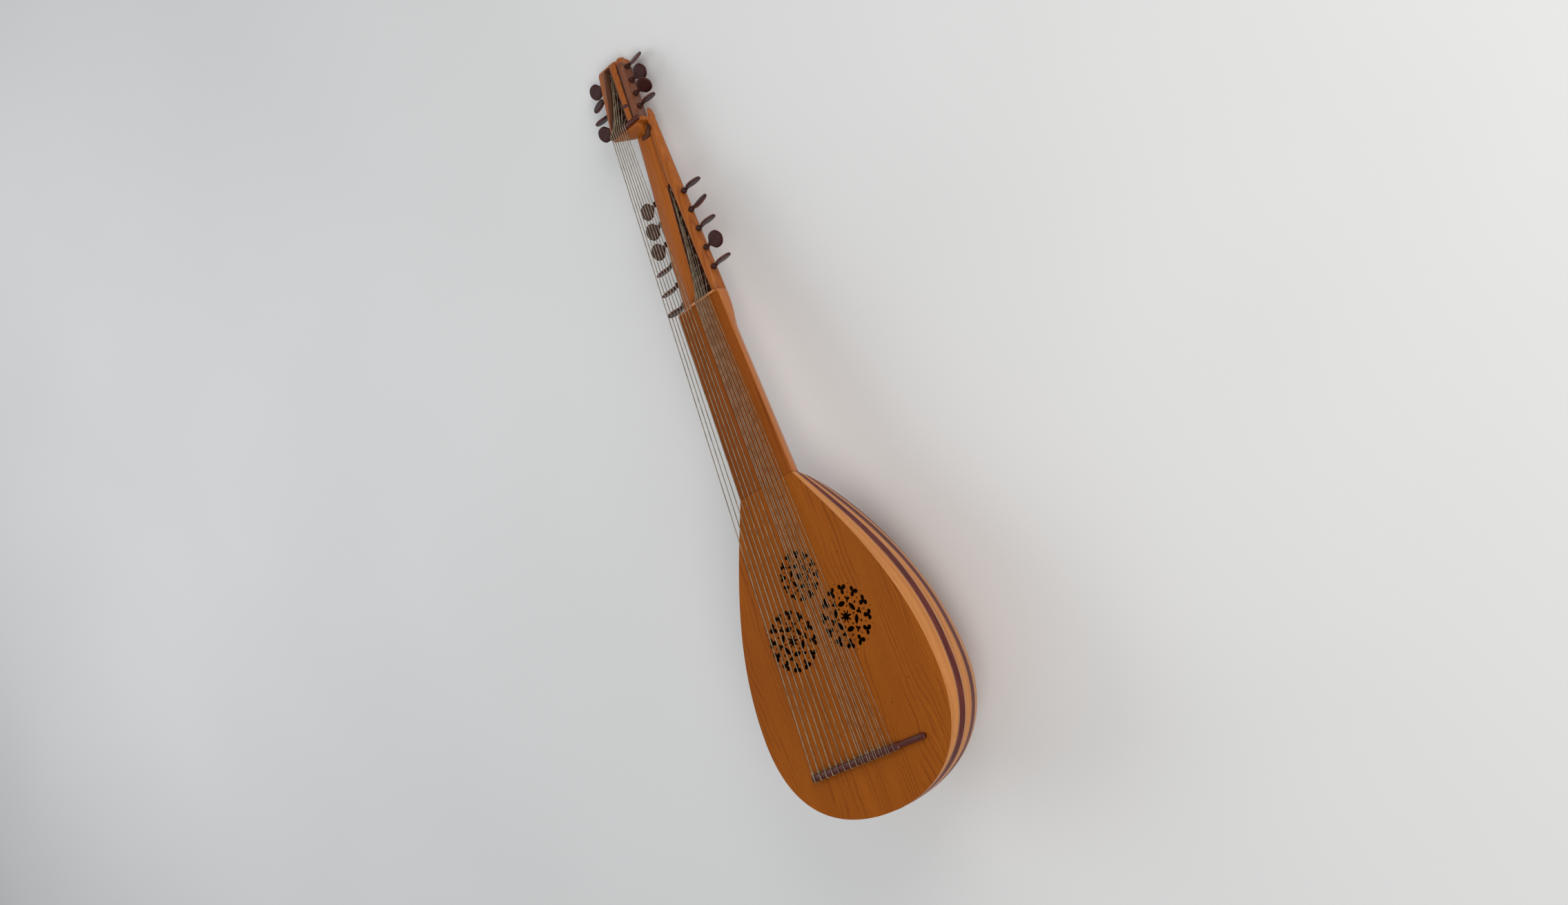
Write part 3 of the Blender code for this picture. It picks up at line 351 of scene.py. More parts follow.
def stretched(tree, space, share):
    """The texture space with its patterns drawn out along the grain."""
    made = tree.nodes.new("ShaderNodeMapping")
    made.inputs["Scale"].default_value = (1.0, share, 1.0)
    tree.links.new(space, made.inputs["Vector"])
    return made.outputs["Vector"]


def noise(tree, space, scale, detail=2.0, roughness=0.5):
    made = new_node(tree, "ShaderNodeTexNoise", Scale=scale, Detail=detail, Roughness=roughness)
    tree.links.new(space, made.inputs["Vector"])
    return made.outputs["Fac"]


def bands(tree, across, width):
    """Soft bands from 0 to 1, one in each width of the bent place across the grain."""
    turns = calculate(tree, 'MULTIPLY', across, 2 * math.pi / width)
    return calculate(tree, 'MULTIPLY_ADD', calculate(tree, 'SINE', turns), 0.5, 0.5)


def finish_wood(tree, shader, color, fine, roughness, bump):
    tree.links.new(color, shader.inputs["Base Color"])
    tree.links.new(spread(tree, fine, 0.3, 0.7, roughness - 0.05, roughness + 0.08),
                   shader.inputs["Roughness"])
    height = new_node(tree, "ShaderNodeBump", Strength=bump, Distance=0.0002)
    tree.links.new(fine, height.inputs["Height"])
    tree.links.new(height.outputs["Normal"], shader.inputs["Normal"])


def wood(name, light, dark, streak, roughness=0.42, coat=0.15, specular=0.3, ring=0.0035,
         wander=0.010, wander_scale=16.0, drawn=0.30, streak_ring=0.0090, rings_share=0.5,
         streak_share=0.5, knots=False, uv_map=None, bump=0.2, tone=0.35):
    """Varnished wood: rings and darker streaks that bend together round a slow figure."""
    material, tree, shader = start_material(name, roughness, coat, specular)
    space = grain_space(tree, uv_map)
    slow = stretched(tree, space, drawn)
    split = tree.nodes.new("ShaderNodeSeparateXYZ")
    tree.links.new(space, split.inputs["Vector"])
    bend = calculate(tree, 'SUBTRACT', noise(tree, slow, wander_scale, 2.5), 0.5)
    across = calculate(tree, 'MULTIPLY_ADD', bend, 4.0 * wander, split.outputs["X"])
    depth = calculate(tree, 'MULTIPLY', split.outputs["Z"], 0.6)
    across = calculate(tree, 'ADD', across, depth)
    fine = noise(tree, stretched(tree, space, 0.07), 1500.0, 3.0, 0.6)
    patches = noise(tree, stretched(tree, space, 0.16), 45.0, 3.0)
    rings = calculate(tree, 'MULTIPLY', bands(tree, across, ring), spread(tree, patches, 0.3, 0.6, 0.4, 1.0))
    color = blend(tree, calculate(tree, 'MULTIPLY', rings, rings_share), light, dark)
    slow_tone = spread(tree, noise(tree, slow, 14.0, 2.0), 0.35, 0.70, 0.0, tone)
    color = blend(tree, slow_tone, color, dark)
    lines = calculate(tree, 'POWER', bands(tree, across, streak_ring), 5.0)
    broken = spread(tree, noise(tree, stretched(tree, space, 0.10), 60.0, 2.0), 0.42, 0.62)
    lines = calculate(tree, 'MULTIPLY', calculate(tree, 'MULTIPLY', lines, broken), streak_share)
    color = blend(tree, lines, color, streak)
    pores = spread(tree, fine, 0.50, 0.72, 0.0, 0.35)
    color = blend(tree, pores, color, streak)
    if knots:
        cells = new_node(tree, "ShaderNodeTexVoronoi", Scale=9.0, voronoi_dimensions='2D')
        tree.links.new(space, cells.inputs["Vector"])
        color = blend(tree, spread(tree, cells.outputs["Distance"], 0.007, 0.013, 0.9, 0.0), color,
                      streak)
    finish_wood(tree, shader, color, fine, roughness, bump)
    return material


def strip_material():
    """Dark strip with a thin pale line along each edge; U runs from 0 to 1 across it."""
    material, tree, shader = start_material("strip_with_pale_lines", 0.40, 0.0, 0.12)
    split = tree.nodes.new("ShaderNodeSeparateXYZ")
    tree.links.new(grain_space(tree, "across"), split.inputs["Vector"])
    edge = calculate(tree, 'SUBTRACT', 0.5, calculate(
        tree, 'ABSOLUTE', calculate(tree, 'SUBTRACT', split.outputs["X"], 0.5)))
    grain = grain_space(tree, "grain")
    fine = noise(tree, stretched(tree, grain, 0.05), 1800.0, 3.0)
    soft = noise(tree, stretched(tree, grain, 0.20), 120.0, 2.0)
    color = blend(tree, spread(tree, soft, 0.35, 0.65), (0.160, 0.022, 0.014), (0.090, 0.010, 0.006))
    color = blend(tree, spread(tree, fine, 0.45, 0.70, 0.0, 0.5), color, (0.045, 0.008, 0.006))
    line = calculate(tree, 'MULTIPLY', spread(tree, edge, 0.020, 0.045), spread(tree, edge, 0.085, 0.110, 1.0, 0.0))
    color = blend(tree, calculate(tree, 'MULTIPLY', line, 0.85), color, (0.440, 0.275, 0.200))
    finish_wood(tree, shader, color, fine, 0.40, 0.12)
    return material


def string_material(name, light, dark, twist):
    """Gut or overspun string: fine slanting turns along its length."""
    material, tree, shader = start_material(name, 0.45, 0.0, 0.3)
    space = grain_space(tree)
    split = tree.nodes.new("ShaderNodeSeparateXYZ")
    tree.links.new(space, split.inputs["Vector"])
    slant = calculate(tree, 'ADD', split.outputs["Y"], split.outputs["X"])
    turns = bands(tree, slant, twist)
    spots = spread(tree, noise(tree, space, 90.0), 0.35, 0.60)
    color = blend(tree, calculate(tree, 'MULTIPLY', turns, spots), dark, light)
    tree.links.new(color, shader.inputs["Base Color"])
    height = new_node(tree, "ShaderNodeBump", Strength=0.3, Distance=0.0001)
    tree.links.new(turns, height.inputs["Height"])
    tree.links.new(height.outputs["Normal"], shader.inputs["Normal"])
    return material


def floor_material():
    material, tree, shader = start_material("studio_floor", 0.85, 0.0, 0.0)
    coordinates = tree.nodes.new("ShaderNodeTexCoord")
    cloud = noise(tree, coordinates.outputs["Object"], 1.3)
    color = blend(tree, spread(tree, cloud, 0.3, 0.7), (0.74, 0.74, 0.73), (0.78, 0.78, 0.77))
    tree.links.new(color, shader.inputs["Base Color"])
    return material


MATERIALS = {
    "soundboard": wood("soundboard_spruce", (0.350, 0.094, 0.0055), (0.220, 0.050, 0.0028),
                       (0.120, 0.022, 0.0020), roughness=0.58, coat=0.0, specular=0.08,
                       ring=0.0026, wander=0.014, wander_scale=14.0, drawn=0.35,
                       streak_ring=0.0078, rings_share=0.75, knots=True),
    "rib": wood("rib_wood", (0.640, 0.260, 0.070), (0.460, 0.155, 0.032), (0.340, 0.095, 0.022),
                roughness=0.40, coat=0.05, specular=0.15, ring=0.0120, wander=0.010,
                wander_scale=15.0, streak_ring=0.0170, rings_share=0.45, streak_share=0.40,
                uv_map="grain"),
    "neck": wood("neck_wood", (0.500, 0.155, 0.022), (0.350, 0.095, 0.010), (0.200, 0.045, 0.006),
                 roughness=0.36, coat=0.25, ring=0.0050, wander=0.005, drawn=0.15),
    # Darker and more matte than the neck: painted shade of the strings over the fingerboard
    "fingerboard": wood("fingerboard_wood", (0.290, 0.074, 0.0065), (0.190, 0.043, 0.0035),
                        (0.100, 0.018, 0.0020), roughness=0.52, coat=0.0, specular=0.08,
                        ring=0.0034, wander=0.004, drawn=0.12),
    "cheek": wood("cheek_wood", (0.390, 0.110, 0.013), (0.260, 0.059, 0.006),
                  (0.145, 0.025, 0.004), roughness=0.36, coat=0.12, specular=0.2, ring=0.0026,
                  wander=0.0015,
                  drawn=0.12, streak_ring=0.0052, streak_share=0.5),
    "dark_wood": wood("bridge_wood", (0.085, 0.011, 0.005), (0.045, 0.006, 0.004),
                      (0.018, 0.004, 0.003), roughness=0.38, coat=0.10, ring=0.0030,
                      wander=0.003),
    "peg": wood("peg_wood", (0.050, 0.010, 0.006), (0.022, 0.005, 0.003), (0.010, 0.003, 0.002),
                roughness=0.40, coat=0.05, specular=0.18, ring=0.0030, wander=0.003, bump=0.1),
    # Lighter reddish rims of the keys: worn edges, and a painted highlight
    "peg_rim": wood("peg_rim_wood", (0.170, 0.045, 0.038), (0.100, 0.024, 0.021),
                    (0.045, 0.011, 0.010), roughness=0.34, coat=0.20, ring=0.0030, wander=0.003,
                    bump=0.1),
    "inner_wood": wood("inner_spruce", (0.550, 0.370, 0.200), (0.430, 0.270, 0.130),
                       (0.320, 0.190, 0.090), roughness=0.70, coat=0.0, ring=0.0025,
                       wander=0.003),
    "nut": wood("nut_wood", (0.500, 0.160, 0.028), (0.360, 0.100, 0.014), (0.220, 0.060, 0.012),
                roughness=0.32, coat=0.25, ring=0.0050, wander=0.002),
    # Paler wood for the nut's back top edge: a painted highlight
    "nut_highlight": wood("nut_highlight_wood", (0.560, 0.300, 0.190), (0.420, 0.200, 0.110),
                     (0.300, 0.120, 0.060), roughness=0.32, coat=0.25, ring=0.0050, wander=0.002),
    # Dark purple band across the treble rail: painted shadow
    "band": wood("rail_band_painted_shadow", (0.100, 0.020, 0.026), (0.055, 0.011, 0.016), (0.030, 0.007, 0.010),
                 roughness=0.40, coat=0.20, ring=0.0030, wander=0.003),
    # Darker brown for the rail's second bead and treble side: painted shade
    "bead": wood("bead_painted_shade", (0.230, 0.078, 0.036), (0.140, 0.042, 0.020), (0.080, 0.022, 0.012),
                 roughness=0.42, coat=0.15, specular=0.25, ring=0.0030, wander=0.003),
    # Very dark brown for the ribs' inner faces: painted shade inside the bowl
    "bowl_inside": wood("bowl_inside_painted_shade", (0.075, 0.034, 0.017), (0.045, 0.020, 0.010),
                        (0.030, 0.012, 0.007), roughness=0.75, coat=0.0, specular=0.1,
                        ring=0.0050, wander=0.005, uv_map="grain"),
    # Trough wood: a darker, matte colour painted on the slot's walls and floor, the bores, the groove, the hollow
    # and the upper trough, as painted shade in these recesses
    "trough": wood("recess_painted_shade", (0.150, 0.062, 0.034), (0.085, 0.032, 0.018),
                   (0.045, 0.016, 0.010), roughness=0.62, coat=0.0, specular=0.15, ring=0.0048,
                   wander=0.004, drawn=0.12),
    "strip": strip_material(),
    "string": string_material("string_gut", (0.420, 0.340, 0.230), (0.160, 0.120, 0.075), 0.0009),
    # Darker string colour for the windings round the pegs: painted shade in the slots
    "winding": string_material("winding_painted_shade", (0.170, 0.125, 0.075), (0.070, 0.048, 0.028), 0.0009),
}


def place(obj, slot, node, body=ROOT_BODY, angle=math.radians(40)):
    mesh = obj.data
    mesh.shade_smooth()
    mesh.set_sharp_from_angle(angle=angle)
    mesh.transform(REST)
    obj.matrix_world = Matrix.Identity(4)
    if not mesh.materials:
        mesh.materials.append(MATERIALS[slot])
    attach(obj, body)
    if node:
        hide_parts(node)
    return obj


def link(name, bm):
    bmesh.ops.recalc_face_normals(bm, faces=bm.faces)
    mesh = bpy.data.meshes.new(name)
    bm.to_mesh(mesh)
    bm.free()
    obj = bpy.data.objects.new(name, mesh)
    bpy.context.scene.collection.objects.link(obj)
    return obj


def baked(obj, name):
    """A mesh object in place of one with modifiers, or of a curve."""
    graph = bpy.context.evaluated_depsgraph_get()
    mesh = bpy.data.meshes.new_from_object(obj.evaluated_get(graph))
    bpy.data.objects.remove(obj, do_unlink=True)
    made = bpy.data.objects.new(name, mesh)
    bpy.context.scene.collection.objects.link(made)
    return made


def soften(obj, name, width, segments=2):
    bevel = obj.modifiers.new("soft_edges", 'BEVEL')
    bevel.width = width
    bevel.segments = segments
    bevel.limit_method = 'ANGLE'
    bevel.angle_limit = math.radians(35)
    return baked(obj, name)


def add_loft(bm, rings, capped=True):
    rows = [[bm.verts.new(point) for point in ring] for ring in rings]
    count = len(rows[0])
    for row, following in zip(rows, rows[1:]):
        for i in range(count):
            j = (i + 1) % count
            bm.faces.new((row[i], row[j], following[j], following[i]))
    if capped:
        bm.faces.new(rows[0])
        bm.faces.new(rows[-1])
    return rows


def joint_angle(index, y):
    """Angle of a joint between ribs and strips, from the treble edge, at one station."""
    if index == 0:
        return 0.0
    if index >= RIB_COUNT:
        return math.pi - joint_angle(2 * RIB_COUNT - 1 - index, y)
    inner_ribs = math.pi - 2 * EDGE_RIB_ANGLE - STRIP_ANGLE * (RIB_COUNT - 1)
    pitch = STRIP_ANGLE + inner_ribs / (RIB_COUNT - 2)
    centre = EDGE_RIB_ANGLE + 0.5 * STRIP_ANGLE + pitch * ((index - 1) // 2)
    width = half_width(y)
    lean = JOINT_LEAN * (y - JOINT_LEAN_FROM) / width
    limit = JOINT_SWING[0] if lean < 0.0 else JOINT_SWING[1]
    centre += limit * math.tanh(lean / limit) * math.cos(centre)
    swell = min(WIDTH_ARCS[0][1][3] / width, STRIP_SWELL)
    edge = 0.5 * STRIP_ANGLE * swell * (-1 if index % 2 else 1)
    return max(centre + edge, math.asin(EDGE_RIB_HEIGHT / width))


def edge_offset(index):
    if index in (0, 2 * RIB_COUNT - 1):
        return SOUNDBOARD_THICKNESS + PIECE_GAP
    return 0.5 * JOINT_GAP


def skin_point(plane, offset, y, sunk):
    radius = bowl_radius(plane, y)
    for _ in range(3):
        radius = bowl_radius(plane + math.asin(offset / radius), y)
    step = 0.0004
    angle = plane + math.asin(offset / radius)
    low = max(y - step, 0.5 * TAIL_START)
    high = min(y + step, BODY_LENGTH)
    slope = (bowl_radius(angle, high) - bowl_radius(angle, low)) / (high - low)
    length = math.hypot(1.0, slope)
    inner = radius - sunk / length
    angle = plane + math.asin(offset / inner)
    return Vector((inner * math.cos(angle), y + sunk * slope / length, -inner * math.sin(angle)))


def stave_rings(index):
    """Rings of a rib or strip with softened outer edges, and how far each ring is along it."""
    start = edge_offset(index)
    end = -edge_offset(index + 1)
    soft = EDGE_SOFTNESS
    rings, lengths = [], []
    span = BODY_LENGTH - TAIL_START
    travelled, last = 0.0, None
    for i in range(RIB_RINGS + 1):
        y = TAIL_START + span * 0.5 * (1.0 - math.cos(math.pi * i / RIB_RINGS))
        low, high = joint_angle(index, y), joint_angle(index + 1, y)
        outer_a = skin_point(low, start, y, 0.0)
        outer_b = skin_point(high, end, y, 0.0)
        inner_a = skin_point(low, start, y, RIB_THICKNESS)
        inner_b = skin_point(high, end, y, RIB_THICKNESS)
        across = (outer_b - outer_a).normalized()
        inward_a = (inner_a - outer_a).normalized()
        inward_b = (inner_b - outer_b).normalized()
        rings.append([inner_a, outer_a + inward_a * soft, outer_a + across * soft,
                      outer_a.lerp(outer_b, 0.35), outer_a.lerp(outer_b, 0.65),
                      outer_b - across * soft, outer_b + inward_b * soft, inner_b])
        middle = outer_a.lerp(outer_b, 0.5)
        if last is not None:
            travelled += (middle - last).length
        last = middle
        lengths.append(travelled)
    return rings, lengths


def build_stave(name, index, node, slot, seed):
    """One rib or strip, with its grain mapped along it."""
    rings, lengths = stave_rings(index)
    bm = bmesh.new()
    rows = add_loft(bm, rings)
    along = {vert: lengths[i] for i, row in enumerate(rows) for vert in row}
    across = {vert: k for row in rows for k, vert in enumerate(row)}
    widths = [(ring[0] - ring[-1]).length for ring in rings]
    width_of = {vert: widths[i] for i, row in enumerate(rows) for vert in row}
    shares = (0.0, 0.0, 0.02, 0.35, 0.65, 0.98, 1.0, 1.0)
    grain = bm.loops.layers.uv.new("grain")
    band = bm.loops.layers.uv.new("across")
    for face in bm.faces:
        face.material_index = int(all(across[vert] in (0, len(shares) - 1) for vert in face.verts))
        for loop in face.loops:
            share = shares[across[loop.vert]]
            side = (share - 0.5) * width_of[loop.vert]
            loop[grain].uv = (side + 0.37 * seed, along[loop.vert] + 1.7 * seed)
            loop[band].uv = (share, along[loop.vert])
    # The inner faces take the bowl's painted shade
    obj = paint(link(name, bm), slot, "bowl_inside")
    return place(obj, slot, node, angle=math.radians(30))


def build_bowl():
    for i in range(RIB_COUNT):
        build_stave("bowl_rib_%02d" % (i + 1), 2 * i, "rib_%02d" % (i + 1), "rib", i + 1)
    for i in range(RIB_COUNT - 1):
        build_stave("bowl_strip_%02d" % (i + 1), 2 * i + 1, "rib_strips", "strip", i + 1)


def build_clasp():
    """Half-round clasp that closes the bowl at the tail."""
    steps = 48
    top = -(SOUNDBOARD_THICKNESS + PIECE_GAP)
    width, deep = half_width(TAIL_START), arc_value(TAIL_START, DEPTH_ARCS)
    start = TAIL_START - PIECE_GAP
    rings = []
    for reach, y in ((0.35, start - CLASP_CROWN), (0.75, start - 0.75 * CLASP_CROWN),
                     (0.96, start - 0.2 * CLASP_CROWN), (1.0, start + 0.0002),
                     (1.0, start + CLASP_THICKNESS)):
        ring = []
        for i in range(steps + 1):
            angle = math.pi * i / steps
            radius = (section_radius(angle, width, deep) - 2 * PIECE_GAP) * reach
            ring.append((radius * math.cos(angle), y, min(-radius * math.sin(angle), top)))
        rings.append(ring)
    bm = bmesh.new()
    add_loft(bm, rings)
    bmesh.ops.remove_doubles(bm, verts=bm.verts, dist=0.00001)
    obj = link("tail_clasp", bm)
    obj.data.materials.append(MATERIALS["dark_wood"])
    place(obj, "strip", "rib_strips")


def polar(centre, radius, angle):
    return (centre[0] + radius * math.cos(angle), centre[1] + radius * math.sin(angle))


def lobed(centre, spin, count, steps, reach):
    """Closed outline whose reach swells and shrinks evenly, count times round."""
    points = []
    for i in range(steps):
        angle = 2 * math.pi * i / steps
        points.append(polar(centre, reach(math.cos(0.5 * count * angle) ** 2), spin + angle))
    return points


def oval(centre, spin, long, short, steps, sharp=1.0):
    points = []
    for i in range(steps):
        angle = 2 * math.pi * i / steps
        u = long * math.cos(angle)
        v = short * math.copysign(abs(math.sin(angle)) ** sharp, math.sin(angle))
        points.append((centre[0] + u * math.cos(spin) - v * math.sin(spin),
                       centre[1] + u * math.sin(spin) + v * math.cos(spin)))
    return points


def rose_holes(centre, radius):
    """Star, leaves, dots and trefoils of a rose, with its six rays turned to the head."""
    holes = [lobed(centre, 0.0, 8, 48, lambda s: radius * (0.100 + 0.120 * s))]
    for i in range(ROSE_FOLD):
        ray = math.pi / 2 + 2 * math.pi * i / ROSE_FOLD
        between = ray + math.pi / ROSE_FOLD
        holes.append(oval(polar(centre, 0.378 * radius, ray), ray + math.pi / 2,
                          0.150 * radius, 0.078 * radius, 20, 1.25))
        holes.append(lobed(polar(centre, 0.515 * radius, between), between + math.pi, 3, 30,
                           lambda s: radius * (0.050 + 0.062 * s)))
        holes.append(oval(polar(centre, 0.555 * radius, ray), ray, 0.046 * radius,
                          0.038 * radius, 12))
        holes.append(oval(polar(centre, 0.305 * radius, between), between,
                          0.042 * radius, 0.032 * radius, 12))
        holes.append(oval(polar(centre, 0.630 * radius, between), between, 0.022 * radius,
                          0.022 * radius, 10))
    for i in range(2 * ROSE_FOLD):
        angle = math.pi / 2 + math.pi * (i + 0.5) / ROSE_FOLD
        holes.append(lobed(polar(centre, 0.800 * radius, angle), angle + math.pi, 3, 42,
                           lambda s: radius * (0.054 + 0.118 * s ** 0.55)))
        rim = angle + 0.5 * math.pi / ROSE_FOLD
        holes.append(oval(polar(centre, 0.968 * radius, rim), rim, 0.020 * radius,
                          0.020 * radius, 10))
        holes.append(oval(polar(centre, 0.705 * radius, rim), rim, 0.028 * radius,
                          0.024 * radius, 10))
    return holes


def flat_curve(name, outlines, thickness, edge):
    curve = bpy.data.curves.new(name, 'CURVE')
    curve.dimensions = '2D'
    curve.fill_mode = 'BOTH'
    curve.extrude = 0.5 * thickness - edge
    curve.bevel_depth = edge
    curve.bevel_resolution = 1
    curve.offset = -edge
    for outline in outlines:
        spline = curve.splines.new('POLY')
        spline.points.add(len(outline) - 1)
        spline.use_cyclic_u = True
        for knot, point in zip(spline.points, outline):
            knot.co = (*point, 0.0, 1.0)
    obj = bpy.data.objects.new(name, curve)
    bpy.context.scene.collection.objects.link(obj)
    return obj


def build_soundboard():
    steps = 120
    stations = [BODY_LENGTH * 0.5 * (1.0 - math.cos(math.pi * i / steps)) for i in range(steps + 1)]
    edge = [(half_width(y), y) for y in stations]
    outline = edge + [(-x, y) for x, y in reversed(edge[1:])]
    outlines = [outline]
    for x, y, radius in ROSES:
        outlines += rose_holes((x, y), ROSE_REACH * radius)
    obj = flat_curve("soundboard_plate", outlines, SOUNDBOARD_THICKNESS, 0.00020)
    obj = baked(obj, "soundboard_plate")
    obj.data.transform(Matrix.Translation((0.0, 0.0, -0.5 * SOUNDBOARD_THICKNESS)))
    place(obj, "soundboard", "soundboard")


def neck_section(y, top, sides):
    share = (y - BODY_LENGTH) / (NUT_END - BODY_LENGTH)
    width, deep = mix(NECK_HALF_WIDTHS, share), mix(NECK_DEPTHS, share)
    squareness = max(1.0 - (NUT_END - y) / NECK_END_LENGTH, 0.0)
    power = mix((SECTION_POWER, NECK_END_POWER), squareness * squareness * (3.0 - 2.0 * squareness))
    first = math.asin(-top / section_radius(0.0, width, deep))
    ring = []
    for i in range(sides + 1):
        angle = first + (math.pi - 2 * first) * i / sides
        radius = section_radius(angle, width, deep, power)
        ring.append((radius * math.cos(angle), y, -radius * math.sin(angle)))
    ring[0] = (ring[0][0], y, top)
    ring[-1] = (ring[-1][0], y, top)
    return ring


def build_neck():
    start = BODY_LENGTH + PIECE_GAP
    top = -(FINGERBOARD_THICKNESS + PIECE_GAP)
    bm = bmesh.new()
    square = NUT_END - NECK_END_LENGTH
    stations = [mix((start, square), i / 8) for i in range(9)]
    stations += [mix((square, NUT_END), i / 8) for i in range(1, 9)]
    add_loft(bm, [neck_section(y, top, 40) for y in stations])
    obj = soften(link("neck_raw", bm), "neck_wood", 0.0008)
    place(obj, "neck", "neck")
    end = NUT_END - NUT_WIDTH - PIECE_GAP
    share = (end - BODY_LENGTH) / (NUT_END - BODY_LENGTH)
    bm = bmesh.new()
    rings = []
    for y, half in ((start, NECK_HALF_WIDTHS[0]), (end, mix(NECK_HALF_WIDTHS, share))):
        rings.append([(half, y, -FINGERBOARD_THICKNESS), (half, y, 0.0),
                      (-half, y, 0.0), (-half, y, -FINGERBOARD_THICKNESS)])
    add_loft(bm, rings)
    obj = soften(link("fingerboard_raw", bm), "fingerboard_plate", 0.0004)
    place(obj, "fingerboard", "fingerboard")
    bm = bmesh.new()
    outline = [(NUT_END - NUT_WIDTH, -FINGERBOARD_THICKNESS), (NUT_END - NUT_WIDTH, NUT_HEIGHT),
               (NUT_END, NUT_HEIGHT), (NUT_END, -FINGERBOARD_THICKNESS)]
    add_loft(bm, [[(x, y, z) for y, z in outline] for x in NUT_X])
    obj = paint(soften(link("nut_raw", bm), "stopped_nut", 0.0009, 3), "nut", "nut_highlight")
    # The nut's back and top back edge take the paler wood: a painted highlight
    edge = NUT_END - 0.3 * NUT_WIDTH
    for face in obj.data.polygons:
        face.material_index = int(face.center.y > edge and face.normal.y > -0.2)
    place(obj, "nut", "nut")


def extension_share(y):
    return (y - NUT_END) / (EXTENSION_END - NUT_END)


def extension_half(y):
    return mix(EXTENSION_HALF_WIDTHS, extension_share(y))


def extension_depth(y):
    return mix(EXTENSION_DEPTHS, extension_share(y))


def back_curve(y):
    """Half-widths and depths round the extension's back edge, from its side to its base."""
    depth = extension_depth(y)
    waist = depth - CHEEK_BACK_ROUND
    reach = CHEEK_BACK_ROUND - BACK_PLATE_THICKNESS - PIECE_GAP
    curve = []
    for i in range(7):
        below = reach * i / 6
        inset = CHEEK_BACK_ROUND - math.sqrt(CHEEK_BACK_ROUND ** 2 - below ** 2)
        curve.append((extension_half(y) - inset, waist + below))
    return curve


def cheek_inner_x(y, side):
    if y <= SLOT_END:
        share = (y - NUT_END) / (SLOT_END - NUT_END)
        return side * mix(SLOT_TREBLE_X if side > 0 else SLOT_BASS_X, share)
    share = min((y - SLOT_END) / (GROOVE_END - SLOT_END), 1.0)
    return side * JOINT_X + 0.5 * mix((GROOVE_WIDTH, PIECE_GAP), share)


def cheek_ring(y, side):
    """Section of a cheek as (distance to its side, depth) pairs, from the slot round the back."""
    inner, half = cheek_inner_x(y, side), extension_half(y)
    front = catmull(TREBLE_CHEEK_FRONT if side > 0 else BASS_CHEEK_FRONT, CHEEK_STEPS)
    ring = [(mix((inner, half), share), max(down, 0.0)) for share, down in front]
    ring += back_curve(y)
    return ring + [(inner, ring[-1][1])]


def leaned(tilt):
    """Turn of a peg from the instrument's X axis to its own, in the plane of its box's front."""
    return Matrix.Rotation(PEG_LEAN, 3, Vector((0.0, math.sin(tilt), math.cos(tilt))))


def axis_point(place_yz, tilt, reach):
    """Point of a peg's axis at a distance towards the treble side from the middle plane."""
    return Vector((0.0, *place_yz)) + leaned(tilt) @ Vector((reach, 0.0, 0.0))


def wall_reach(half, taper, side):
    """Distance along a leaned peg's axis to a wall whose half-width changes by a taper."""
    return half / (math.cos(PEG_LEAN) - side * taper * math.sin(PEG_LEAN))


def lower_reach(place_yz, side):
    taper = (EXTENSION_HALF_WIDTHS[1] - EXTENSION_HALF_WIDTHS[0]) / (EXTENSION_END - NUT_END)
    return wall_reach(extension_half(place_yz[0]), taper, side)


def upper_reach(along, side):
    """Distance to the face that an upper peg's collar sits on."""
    share = along / UPPER_LENGTH
    if side > 0:
        taper = (UPPER_TREBLE_X[1] - UPPER_TREBLE_X[0]) / UPPER_LENGTH
        return wall_reach(mix(UPPER_TREBLE_X, share) - UPPER_RECESS, taper, side)
    taper = (UPPER_BASS_X[0] - UPPER_BASS_X[1]) / UPPER_LENGTH
    return wall_reach(-mix(UPPER_BASS_X, share), taper, side)


def add_bore(bm, place_yz, tilt, side, far_cheek):
    """A cutter for one peg, in through the cheek on its side and part way into the other."""
    radius = SHAFT_RADIUS + BORE_CLEARANCE
    angles = [2 * math.pi * i / 24 for i in range(24)]
    centre, turn = Vector((0.0, *place_yz)), leaned(tilt)
    ends = (side * (BORE_FLOOR - far_cheek), side * 0.1)
    add_loft(bm, [[centre + turn @ Vector((x, radius * math.cos(a), radius * math.sin(a)))
                   for a in angles] for x in ends])


def cut_by(obj, cutters, name):
    """The object with (cutter, material) pairs taken away, as a new mesh object."""
    made = []
    for i, (bm, material) in enumerate(cutters):
        cutter = link("%s_cutter_%d" % (name, i), bm)
        cutter.data.materials.append(MATERIALS[material])
        boolean = obj.modifiers.new("cut_%d" % i, 'BOOLEAN')
        boolean.operation = 'DIFFERENCE'
        boolean.solver = 'EXACT'
        boolean.material_mode = 'TRANSFER'
        boolean.object = cutter
        made.append(cutter)
    result = baked(obj, name)
    for cutter in made:
        bpy.data.objects.remove(cutter, do_unlink=True)
    return result


def paint(obj, *names):
    """Give a new mesh object its materials, in the order of its faces' material numbers."""
    for name in names:
        obj.data.materials.append(MATERIALS[name])
    return obj


def horn_ring(share):
    """Section of the horn that the treble cheek ends in, beside the upper pegbox."""
    y = EXTENSION_END + share * HORN_LENGTH
    inner, half = UPPER_TREBLE_X[0] + PIECE_GAP, mix((extension_half(EXTENSION_END), HORN_TIP_X), share)
    low = mix((0.0, HORN_TIP_DEPTHS[0]), share)
    full = extension_depth(EXTENSION_END) - BACK_PLATE_THICKNESS - PIECE_GAP
    squeeze = (mix((full, HORN_TIP_DEPTHS[1]), share) - low) / full
    first, last = cheek_inner_x(EXTENSION_END, 1), extension_half(EXTENSION_END)
    return [(mix((inner, half), (x - first) / (last - first)), y,
             extension_front(y) - low - down * squeeze)
            for x, down in cheek_ring(EXTENSION_END, 1)]


